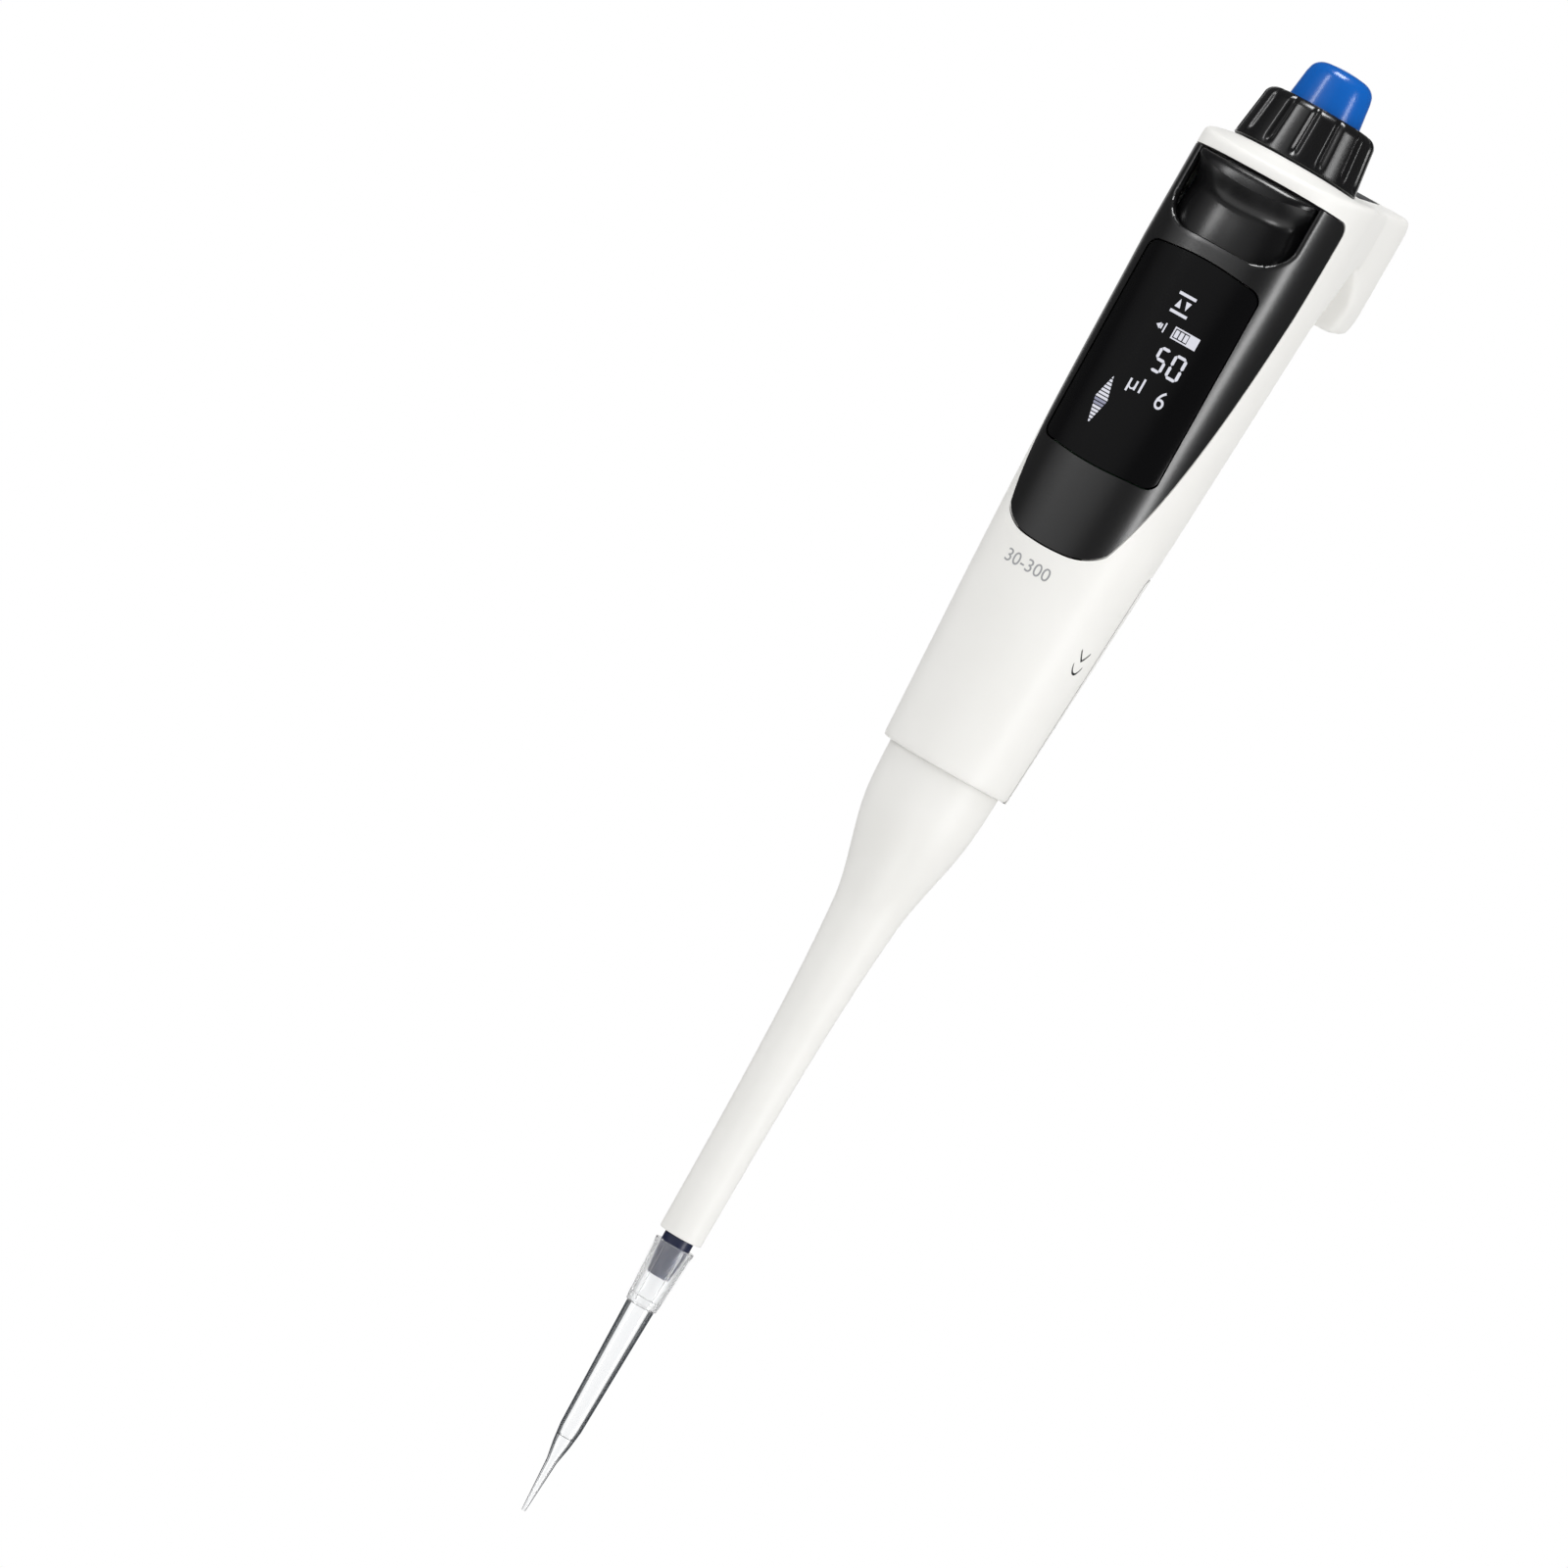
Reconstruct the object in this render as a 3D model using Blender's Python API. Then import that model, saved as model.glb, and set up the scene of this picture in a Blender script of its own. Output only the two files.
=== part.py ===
"""An electronic pipette, as the set of pieces that it comes apart into on a bench.

Frame: +Z runs up along the piston axis, the display faces -Y and the finger hook reaches out to +Y.
The origin lies on the piston axis, level with the flat seat under the finger hook. Sizes are in metres.
"""

import math

import bmesh
import bpy
from mathutils import Vector

MM = 0.001

# Fits and fineness
GAP = 0.3 * MM
OVERRUN = 3 * MM
RING_SPACING = 13 * MM
SHELL_SIDES = 48
SKIN_SIDES = 28
ROUND_SIDES = 22
SMALL_SIDES = 16
ARC_STEPS = 4

# Handle: the head is a rounded square, the grip is nearly round and sits a little forward of the axis
HEAD_HALF_WIDTH = 17.7 * MM
HEAD_HALF_DEPTH = 18.2 * MM
HEAD_SQUARENESS = 2.6
HEAD_LOW_Z = -15 * MM
GRIP_Z = -66 * MM
GRIP_RADIUS = 16.3 * MM
GRIP_SQUARENESS = 2.3
GRIP_FORWARD = 1.4 * MM
HANDLE_END_Z = -123.9 * MM
HANDLE_END_RADIUS = 13.7 * MM
HANDLE_END_FORWARD = 1.7 * MM
ROUND = 2.0
SHELL_WALL = 1.7 * MM
HEAD_CEILING_Z = 6.0 * MM

# Head top: a crest line that climbs from the front to the hook, round a level platform under the knob
CREST_FRONT_Z = 8.2 * MM
CREST_SIDE_Y = 6 * MM
CREST_SIDE_Z = 11.6 * MM
CREST_HOOK_Y = 40 * MM
CREST_HOOK_Z = 15.0 * MM
CREST_ROUNDING = 1.0 * MM
PLATFORM_RADIUS = 14.0 * MM
PLATFORM_Z = 10.7 * MM

# Finger hook
HOOK_REACH = 46.5 * MM
HOOK_HALF_WIDTH = 12.8 * MM
HOOK_FLARE = 5.0 * MM
HOOK_FLARE_LENGTH = 4.5 * MM
HOOK_ROOT_Y = 9 * MM
HOOK_SEAT_NEAR_Y = 20.5 * MM
HOOK_SEAT_FAR_Y = 25 * MM
HOOK_TIP_Z = -12.6 * MM
HOOK_TIP_THICKNESS = 7.0 * MM
HOOK_PLAN_SQUARENESS = 7
INLAY_NEAR_Y = 19 * MM
INLAY_LENGTH = 20 * MM
INLAY_HALF_WIDTH = 7.5 * MM
INLAY_THICKNESS = 1.0 * MM
INLAY_SUNK = 0.1 * MM
INLAY_CORNER = 2.5 * MM
INLAY_FAR_CORNER = 6 * MM

# Front panel: its side edge sweeps forward on a parabola, its foot is a wide U
PANEL_TOP_Z = 5.3 * MM
PANEL_LENGTH = 82.1 * MM
PANEL_EDGE_Y = -5.0 * MM
PANEL_SWEEP = 9.8 * MM
PANEL_CORNER = 2.7 * MM
PANEL_FOOT_HALF_WIDTH = 10.8 * MM
PANEL_FOOT_CORNER = 10 * MM
PANEL_FOOT_BULGE = 1.0 * MM
PANEL_FOOT_FLARE = 32 * MM
PANEL_FOOT_ROUNDING = 40 * MM

# Display window and display
WINDOW_TOP_Z = -15.0 * MM
WINDOW_BOTTOM_Z = -57.6 * MM
WINDOW_HALF_WIDTH = 12.6 * MM
WINDOW_CORNER = 2.4 * MM
WINDOW_BULGE = 1.2 * MM
WINDOW_ROUNDING = 60 * MM
WINDOW_THICKNESS = 1.0 * MM
WINDOW_INSET = 0.2 * MM
DISPLAY_HALF_WIDTH = 9.5 * MM
DISPLAY_THICKNESS = 2.0 * MM
DISPLAY_TOP_Z = -21 * MM
DISPLAY_BOTTOM_Z = -57 * MM

# Ejector key: a lip over a deep concave scoop that dives behind the panel
EJECT_TRAVEL = 7.0 * MM
KEY_HALF_WIDTH = 13.0 * MM
KEY_TOP_Z = 4.9 * MM
KEY_SLOT_FOOT_Z = -10.4 * MM
KEY_SLOT_CORNER = 6.5 * MM
KEY_LIP_PROUD = 1.5 * MM
KEY_LIP_Z = 1.8 * MM
KEY_LIP_RISE = 2.2 * MM
KEY_SCOOP_HEIGHT = 5.2 * MM
KEY_SKIRT_DROP = 2.0 * MM
KEY_SKIRT_WALL = 1.8 * MM

# Ejector rod, spring and sleeve
ROD_X = -11.5 * MM
ROD_Y = -2.0 * MM
ROD_THICKNESS = 1.2 * MM
ROD_WIDTH = 3.4 * MM
ARM_Z = -8.6 * MM
ARM_THICKNESS = 2.4 * MM
ARM_INNER_X = -7.2 * MM
EJECT_SPRING_LENGTH = 17 * MM
EJECT_SPRING_X = -9.0 * MM
EJECT_SPRING_Y = -4.4 * MM
EJECT_SPRING_RADIUS = 1.3 * MM
EJECT_SPRING_WIRE = 0.35 * MM
SLEEVE_TOP_RADIUS = 12.05 * MM
SLEEVE_SHOULDER_Z = -133 * MM
SLEEVE_SHOULDER_RADIUS = 11.5 * MM
SLEEVE_NECK_Z = -157.5 * MM
SLEEVE_NECK_RADIUS = 6.75 * MM
SLEEVE_END_Z = -228.4 * MM
SLEEVE_END_RADIUS = 4.55 * MM
SLEEVE_WALL = 1.15 * MM
SLEEVE_END_WALL = 0.85 * MM
SLEEVE_SLIM_LENGTH = 26 * MM

# Battery cover and battery
COVER_TOP_Z = -72 * MM
COVER_EDGE_Y = 0.6 * MM
COVER_CORNER = 3.0 * MM
BATTERY_HALF_WIDTH = 7.0 * MM
BATTERY_THICKNESS = 4.2 * MM
BATTERY_FRONT_Y = 4.4 * MM
BATTERY_TOP_Z = -74.6 * MM
BATTERY_LENGTH = 33.5 * MM
BATTERY_LIP_THICKNESS = 1.0 * MM
BATTERY_LIP_HALF_WIDTH = 5 * MM
BATTERY_LIP_OVERLAP = 4 * MM
CONTACT_THICKNESS = 0.6 * MM
CONTACT_WIDTH = 3 * MM
CONTACT_SPACING = 8 * MM
BATTERY_FOOT_ROOM = 1.8 * MM

# Levels at the handle's foot, which follow the battery
BARREL_NECK_TOP_Z = BATTERY_TOP_Z - BATTERY_LENGTH - BATTERY_FOOT_ROOM
BARREL_NECK_RISE = 3.0 * MM
FOOT_PLATE_TOP_Z = BARREL_NECK_TOP_Z - BARREL_NECK_RISE
SLEEVE_BELOW_PLATE = 2.1 * MM
SLEEVE_TOP_Z = FOOT_PLATE_TOP_Z - SLEEVE_BELOW_PLATE

# Knob and button
KNOB_BASE_RADIUS = 13.4 * MM
KNOB_TOP_RADIUS = 11.8 * MM
KNOB_HEIGHT = 11.6 * MM
KNOB_CORNER = 2.3 * MM
KNOB_FLUTES = 14
KNOB_FLUTE_DEPTH = 0.75 * MM
KNOB_FLOOR = 2.2 * MM
BUTTON_BASE_RADIUS = 7.8 * MM
BUTTON_TOP_RADIUS = 6.9 * MM
BUTTON_SHOWING = 9.2 * MM
BUTTON_SHOULDER = 2.2 * MM
BUTTON_SKIRT = 2.6 * MM
BUTTON_WALL = 1.2 * MM
BUTTON_TRAVEL = 2.0 * MM
BUTTON_HOLLOW = 3 * MM
STEM_HEAD_RADIUS = 3.4 * MM
STEM_HEAD_HEIGHT = 1.0 * MM
STEM_RADIUS = 1.5 * MM
SHAFT_RADIUS = 3.0 * MM
SHAFT_WALL = 0.8 * MM
SHAFT_HEAD_HEIGHT = 0.8 * MM
BUTTON_SPRING_RADIUS = 2.4 * MM
BUTTON_SPRING_WIRE = 0.35 * MM

# Upper works under the knob
ENCODER_HALF_WIDTH = 6 * MM
ENCODER_HEIGHT = 5.6 * MM
KEY_BOARD_Z = -7.4 * MM
KEY_BOARD_THICKNESS = 1.2 * MM
KEY_BOARD_HALF_WIDTH = 6.8 * MM
KEY_BOARD_FRONT_Y = -6 * MM
KEY_BOARD_BACK_Y = 12 * MM
SHELF_FRONT_Y = 2 * MM
SHELF_BACK_Y = 5 * MM
SHELF_THICKNESS = 1.2 * MM
SWITCH_HALF_WIDTH = 3 * MM
BUZZER_RADIUS = 4 * MM
BUZZER_HEIGHT = 2.4 * MM

# Chassis: three plates on two columns
CHASSIS_TOP_THICKNESS = 1.8 * MM
CHASSIS_TOP_HALF_WIDTH = 11 * MM
CHASSIS_TOP_FRONT_Y = -8 * MM
CHASSIS_TOP_BACK_Y = 12 * MM
CHASSIS_PLATE = 1.7 * MM
COLUMN_X = 9.6 * MM
COLUMN_WIDTH = 1.8 * MM
COLUMN_Y = 1.6 * MM
COLUMN_DEPTH = 3.6 * MM
MOTOR_PLATE_TOP_Z = -66.3 * MM
BOARD_FRONT_Y = -11.6 * MM
BOARD_THICKNESS = 1.6 * MM
BOARD_HALF_WIDTH = 10.6 * MM
BOARD_TOP_Z = -21 * MM

# Motor and piston drive
MOTOR_RADIUS = 7.5 * MM
MOTOR_HEIGHT = 20 * MM
MOTOR_CAN_WALL = 0.7 * MM
ROTOR_RADIUS = 4.4 * MM
ROTOR_SHAFT_RADIUS = 1.0 * MM
BEARING_RADIUS = 2.6 * MM
BEARING_HEIGHT = 1.6 * MM
SCREW_RADIUS = 1.2 * MM
SCREW_TOP_Z = -69.5 * MM
SCREW_LENGTH = 21.5 * MM
PISTON_RADIUS = 2.8 * MM
PISTON_STROKE = 12.2 * MM
CARRIAGE_TOP_Z = -72.5 * MM
CARRIAGE_LENGTH = 21 * MM
CARRIAGE_RADIUS = 3.2 * MM
CARRIAGE_FLOOR = 1.5 * MM
CARRIAGE_ARM_HEIGHT = 3 * MM
CARRIAGE_ARM_DEPTH = 2.4 * MM
PISTON_REST_END_Z = -150 * MM
SENSOR_DEPTH = 3 * MM
SENSOR_HEIGHT = 2.4 * MM

# Lower end: barrel, seal and cone
BARREL_NECK_RADIUS = 6.0 * MM
BARREL_FLANGE_RADIUS = 9.0 * MM
BARREL_FLANGE_HEIGHT = 3.4 * MM
BARREL_BODY_RADIUS = 5.6 * MM
BARREL_SLIM_Z = -140 * MM
BARREL_TAPER = 8 * MM
BARREL_END_RADIUS = 4.4 * MM
BARREL_END_Z = -165 * MM
SEAL_RADIUS = 4.6 * MM
SEAL_HEIGHT = 2.0 * MM
SEAL_DEPTH = 6.4 * MM
NUT_RADIUS = 8.6 * MM
NUT_HEIGHT = 2.6 * MM
CONE_FLANGE_RADIUS = 4.3 * MM
CONE_FLANGE_HEIGHT = 2.0 * MM
CONE_TUBE_RADIUS = 3.2 * MM
CONE_COLLAR_RADIUS = 3.09 * MM
CONE_END_RADIUS = 2.2 * MM
CONE_BORE = 0.8 * MM
CONE_LENGTH_IN_TIP = 6.8 * MM

# Screws
SCREW_HEAD_RADIUS = 1.5 * MM
SCREW_HEAD_HEIGHT = 0.9 * MM
SCREW_SHANK_RADIUS = 0.8 * MM
KEY_BOARD_SCREW_X = 5.2 * MM
MOTOR_SCREW_X = 5.4 * MM
MOTOR_SCREW_GRIP = 1.4 * MM

# Tip
TIP_GAP = 2.0 * MM
TIP_RIM_RADIUS = 4.04 * MM
TIP_RIM_HEIGHT = 0.9 * MM
TIP_COLLAR_TOP_RADIUS = 3.85 * MM
TIP_COLLAR_END_RADIUS = 3.3 * MM
TIP_COLLAR_LENGTH = 13.4 * MM
TIP_STEP = 0.33 * MM
TIP_BODY_LENGTH = 41 * MM
TIP_BODY_END_RADIUS = 2.28 * MM
TIP_SPOUT_BREAK = 48.5 * MM
TIP_SPOUT_RADIUS = 1.12 * MM
TIP_LENGTH = 59.7 * MM
TIP_END_RADIUS = 0.42 * MM
TIP_WALL = 0.55 * MM
TIP_END_WALL = 0.2 * MM


def clear_scene():
    for obj in list(bpy.data.objects):
        bpy.data.objects.remove(obj, do_unlink=True)


# Materials

def material(name, colour, roughness, metallic=0.0, alpha=1.0):
    made = bpy.data.materials.new(name)
    made.use_nodes = True
    shader = made.node_tree.nodes["Principled BSDF"]
    shader.inputs["Base Color"].default_value = (*colour, 1.0)
    shader.inputs["Roughness"].default_value = roughness
    shader.inputs["Metallic"].default_value = metallic
    shader.inputs["Alpha"].default_value = alpha
    made.diffuse_color = (*colour, alpha)
    return made


def make_materials():
    return {
        "white": material("white_casing", (0.86, 0.85, 0.82), 0.38),
        "gloss_black": material("gloss_black_panel", (0.012, 0.012, 0.014), 0.12),
        "window": material("display_window", (0.004, 0.004, 0.005), 0.08),
        "knob": material("black_knob", (0.014, 0.014, 0.016), 0.3),
        "blue": material("blue_button", (0.008, 0.12, 0.46), 0.22),
        "navy": material("navy_cone", (0.012, 0.016, 0.035), 0.35),
        "clear": material("clear_tip", (0.9, 0.92, 0.93), 0.08, alpha=0.35),
        "grey": material("grey_frame", (0.18, 0.18, 0.19), 0.5),
        "steel": material("bright_steel", (0.62, 0.62, 0.63), 0.28, metallic=1.0),
        "brass": material("brass_bush", (0.75, 0.55, 0.25), 0.35, metallic=1.0),
        "copper": material("copper_winding", (0.72, 0.33, 0.16), 0.4, metallic=1.0),
        "board": material("green_board", (0.02, 0.16, 0.07), 0.45),
        "rubber": material("black_rubber", (0.02, 0.02, 0.02), 0.7),
        "cell": material("battery_wrap", (0.1, 0.2, 0.42), 0.4),
    }


# Shapes in the plane

def filleted(corners, steps=ARC_STEPS):
    """A closed outline from (a, b, radius) corners, each rounded by its own radius."""
    points = []
    for index, (a, b, radius) in enumerate(corners):
        here = Vector((a, b))
        if radius <= 0:
            points.append(here)
            continue
        before = Vector(corners[index - 1][:2]) - here
        after = Vector(corners[(index + 1) % len(corners)][:2]) - here
        half_angle = before.angle(after) / 2
        reach = radius / math.tan(half_angle)
        inward = (before.normalized() + after.normalized()).normalized()
        centre = here + inward * radius / math.sin(half_angle)
        start = here + before.normalized() * reach - centre
        end = here + after.normalized() * reach - centre
        sweep = start.angle_signed(end)
        for step in range(steps + 1):
            turn = sweep * step / steps
            turned_to = Vector((
                start.x * math.cos(turn) + start.y * math.sin(turn),
                start.y * math.cos(turn) - start.x * math.sin(turn),
            ))
            points.append(centre + turned_to)
    return points


def superellipse(half_x, half_y, centre_y, squareness, count):
    points = []
    for index in range(count):
        angle = 2 * math.pi * (index + 0.5) / count
        across = math.cos(angle)
        along = math.sin(angle)
        points.append(Vector((
            half_x * math.copysign(abs(across) ** (2 / squareness), across),
            centre_y + half_y * math.copysign(abs(along) ** (2 / squareness), along),
        )))
    return points


def smooth_step(share):
    share = min(max(share, 0.0), 1.0)
    return share * share * (3 - 2 * share)


def through(stations, z):
    """A smooth value at height z through (z, value) stations that run downwards."""
    if z >= stations[0][0]:
        return stations[0][1]
    if z <= stations[-1][0]:
        return stations[-1][1]
    slopes = []
    for index in range(len(stations)):
        above = stations[max(index - 1, 0)]
        below = stations[min(index + 1, len(stations) - 1)]
        slopes.append((above[1] - below[1]) / (above[0] - below[0]))
    for index in range(len(stations) - 1):
        (z0, v0), (z1, v1) = stations[index], stations[index + 1]
        if z >= z1:
            width = z1 - z0
            t = (z - z0) / width
            return (
                v0 * (2 * t**3 - 3 * t**2 + 1)
                + v1 * (3 * t**2 - 2 * t**3)
                + slopes[index] * width * (t**3 - 2 * t**2 + t)
                + slopes[index + 1] * width * (t**3 - t**2)
            )


# Solids

def add_object(name, bm, surface, smooth_angle=35):
    bmesh.ops.recalc_face_normals(bm, faces=bm.faces)
    mesh = bpy.data.meshes.new(name)
    bm.to_mesh(mesh)
    bm.free()
    mesh.materials.append(surface)
    mesh.shade_smooth()
    mesh.set_sharp_from_angle(angle=math.radians(smooth_angle))
    obj = bpy.data.objects.new(name, mesh)
    bpy.context.scene.collection.objects.link(obj)
    return obj


def prism(name, outline, axis, start, end, surface):
    """An outline pushed along one axis. The outline's own axes are the other two, in the order X, Y, Z."""
    spots = {
        "X": lambda a, b, c: (c, a, b),
        "Y": lambda a, b, c: (a, c, b),
        "Z": lambda a, b, c: (a, b, c),
    }[axis]
    bm = bmesh.new()
    base = bm.faces.new([bm.verts.new(spots(p[0], p[1], start)) for p in outline])
    grown = bmesh.ops.extrude_face_region(bm, geom=[base])
    moved = [item for item in grown["geom"] if isinstance(item, bmesh.types.BMVert)]
    bmesh.ops.translate(bm, verts=moved, vec=Vector(spots(0, 0, end - start)))
    return add_object(name, bm, surface)


def block(name, low, high, surface):
    bm = bmesh.new()
    bmesh.ops.create_cube(bm, size=1.0)
    size = [h - l for l, h in zip(low, high)]
    middle = [(h + l) / 2 for l, h in zip(low, high)]
    bmesh.ops.scale(bm, verts=bm.verts, vec=size)
    bmesh.ops.translate(bm, verts=bm.verts, vec=middle)
    return add_object(name, bm, surface)


def turned(name, profile, surface, sides=ROUND_SIDES, centre=(0.0, 0.0), bored=True):
    """A lathe-turned piece from (radius, z) points. A bored profile is a closed loop, a solid one starts and
    ends on the axis."""
    bm = bmesh.new()
    verts = [bm.verts.new((radius, 0.0, z)) for radius, z in profile]
    edges = [bm.edges.new(pair) for pair in zip(verts, verts[1:])]
    if bored:
        edges.append(bm.edges.new((verts[-1], verts[0])))
    bmesh.ops.spin(
        bm, geom=verts + edges, cent=(0, 0, 0), axis=(0, 0, 1),
        angle=2 * math.pi, steps=sides, use_merge=True,
    )
    bmesh.ops.remove_doubles(bm, verts=bm.verts, dist=0.001 * MM)
    bmesh.ops.translate(bm, verts=bm.verts, vec=(centre[0], centre[1], 0))
    return add_object(name, bm, surface)


def lofted(name, rings, surface, closed_tube=False):
    """A skin drawn out ring by ring, capped at both ends, or led back to its first ring as a tube wall."""
    if closed_tube:
        rings = rings + [rings[0]]
    bm = bmesh.new()
    verts = [bm.verts.new(point) for point in rings[0]]
    edges = [bm.edges.new((verts[i - 1], verts[i])) for i in range(len(verts))]
    if not closed_tube:
        bm.faces.new(verts)
    for ring in rings[1:]:
        place = {vert: index for index, vert in enumerate(verts)}
        grown = bmesh.ops.extrude_edge_only(bm, edges=edges)["geom"]
        edges = [item for item in grown if isinstance(item, bmesh.types.BMEdge)]
        verts = [None] * len(ring)
        for vert in grown:
            if isinstance(vert, bmesh.types.BMVert):
                near = [edge.other_vert(vert) for edge in vert.link_edges]
                old = next(other for other in near if other in place)
                verts[place[old]] = vert
                vert.co = ring[place[old]]
    if closed_tube:
        bmesh.ops.remove_doubles(bm, verts=bm.verts, dist=0.001 * MM)
    else:
        bm.faces.new(verts)
    return add_object(name, bm, surface)


def combine(target, tool, operation):
    """Cuts, joins or trims the target by the tool, which stays hidden."""
    modifier = target.modifiers.new(operation.lower(), "BOOLEAN")
    modifier.object = tool
    modifier.operation = operation
    modifier.solver = "EXACT"
    tool.hide_render = True
    tool.display_type = "WIRE"


def drill(target, centre, radius, high, low):
    """A round hole along Z."""
    bit = turned(
        target.name + "_drill", [(0.0, high), (radius, high), (radius, low), (0.0, low)],
        target.data.materials[0], SMALL_SIDES, centre, bored=False,
    )
    combine(target, bit, "DIFFERENCE")


def spring(name, centre, low_z, high_z, radius, wire, turns, surface):
    """A compression spring: one swept wire that stays a wire's radius inside both its seats."""
    steps_per_turn = 8
    count = turns * steps_per_turn
    curve = bpy.data.curves.new(name, "CURVE")
    curve.dimensions = "3D"
    curve.bevel_depth = wire
    curve.bevel_resolution = 0
    curve.use_fill_caps = True
    line = curve.splines.new("POLY")
    line.points.add(count)
    for index in range(count + 1):
        angle = 2 * math.pi * index / steps_per_turn
        z = low_z + wire + (high_z - low_z - 2 * wire) * index / count
        spot = (centre[0] + radius * math.cos(angle), centre[1] + radius * math.sin(angle), z, 1.0)
        line.points[index].co = spot
    curve.materials.append(surface)
    obj = bpy.data.objects.new(name, curve)
    bpy.context.scene.collection.objects.link(obj)
    return obj


# Handle surface

def along_handle(head, grip, end, z):
    return through([(HEAD_LOW_Z, head), (GRIP_Z, grip), (HANDLE_END_Z, end)], z)


def handle_half_width(z):
    return along_handle(HEAD_HALF_WIDTH, GRIP_RADIUS, HANDLE_END_RADIUS, z)


def handle_half_depth(z):
    return along_handle(HEAD_HALF_DEPTH, GRIP_RADIUS, HANDLE_END_RADIUS, z)


def handle_centre_y(z):
    return -along_handle(0.0, GRIP_FORWARD, HANDLE_END_FORWARD, z)


def handle_squareness(z):
    return along_handle(HEAD_SQUARENESS, GRIP_SQUARENESS, ROUND, z)


def handle_ring(z, inset=0.0):
    outline = superellipse(
        handle_half_width(z) - inset, handle_half_depth(z) - inset,
        handle_centre_y(z), handle_squareness(z), SHELL_SIDES,
    )
    return [Vector((p.x, p.y, z)) for p in outline]


def handle_front_y(x, z, inset=0.0):
    """The y of the handle's front skin at x, for a skin set in by inset."""
    half_width = handle_half_width(z) - inset
    half_depth = handle_half_depth(z) - inset
    squareness = handle_squareness(z)
    share = min(abs(x) / half_width, 1.0)
    return handle_centre_y(z) - half_depth * (1 - share ** squareness) ** (1 / squareness)


def wall_at(z):
    """The casing's wall thins towards its end, to leave room for the sleeve."""
    end_wall = HANDLE_END_RADIUS - SLEEVE_TOP_RADIUS - GAP
    share = smooth_step((GRIP_Z - z) / (GRIP_Z - SLEEVE_TOP_Z))
    return SHELL_WALL + (end_wall - SHELL_WALL) * share


def heights(top, bottom, spacing):
    count = max(2, math.ceil((top - bottom) / spacing))
    return [top + (bottom - top) * index / count for index in range(count + 1)]


def crest_z(y):
    """The head's upper edge, seen from the side."""
    if y < CREST_SIDE_Y:
        share = (y + HEAD_HALF_DEPTH) / (CREST_SIDE_Y + HEAD_HALF_DEPTH)
        return CREST_FRONT_Z + (CREST_SIDE_Z - CREST_FRONT_Z) * share
    share = (y - CREST_SIDE_Y) / (CREST_HOOK_Y - CREST_SIDE_Y)
    return CREST_SIDE_Z + (CREST_HOOK_Z - CREST_SIDE_Z) * share


def head_body(surface):
    """The outer form of the casing: rings up to the band, a tilted rounded crest, a level platform."""
    band_z = CREST_FRONT_Z - 2 * CREST_ROUNDING
    rings = [handle_ring(z) for z in reversed(heights(band_z, HANDLE_END_Z, RING_SPACING))]
    for inset, drop in ((0.0, 1.0), (0.3, 0.3), (1.0, 0.0)):
        rings.append([
            Vector((p.x, p.y, crest_z(p.y) - drop * CREST_ROUNDING))
            for p in handle_ring(HEAD_CEILING_Z, inset * CREST_ROUNDING)
        ])
    platform = superellipse(PLATFORM_RADIUS, PLATFORM_RADIUS, 0.0, ROUND, SHELL_SIDES)
    rings.append([Vector((p.x, p.y, PLATFORM_Z)) for p in platform])
    return lofted("handle_shell", rings, surface)


def casing_core(name, surface, top=HEAD_CEILING_Z, bottom=HANDLE_END_Z - OVERRUN):
    """The room inside the casing."""
    rings = [handle_ring(z, wall_at(z)) for z in reversed(heights(top, bottom, RING_SPACING))]
    return lofted(name, rings, surface)


def casing_skin(name, surface):
    """The casing's outer skin as a plain solid, from which the panel and the rear cover are trimmed."""
    rings = [handle_ring(z) for z in reversed(heights(PANEL_TOP_Z + OVERRUN, HANDLE_END_Z, RING_SPACING))]
    return lofted(name, rings, surface)


# Finger hook

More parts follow.
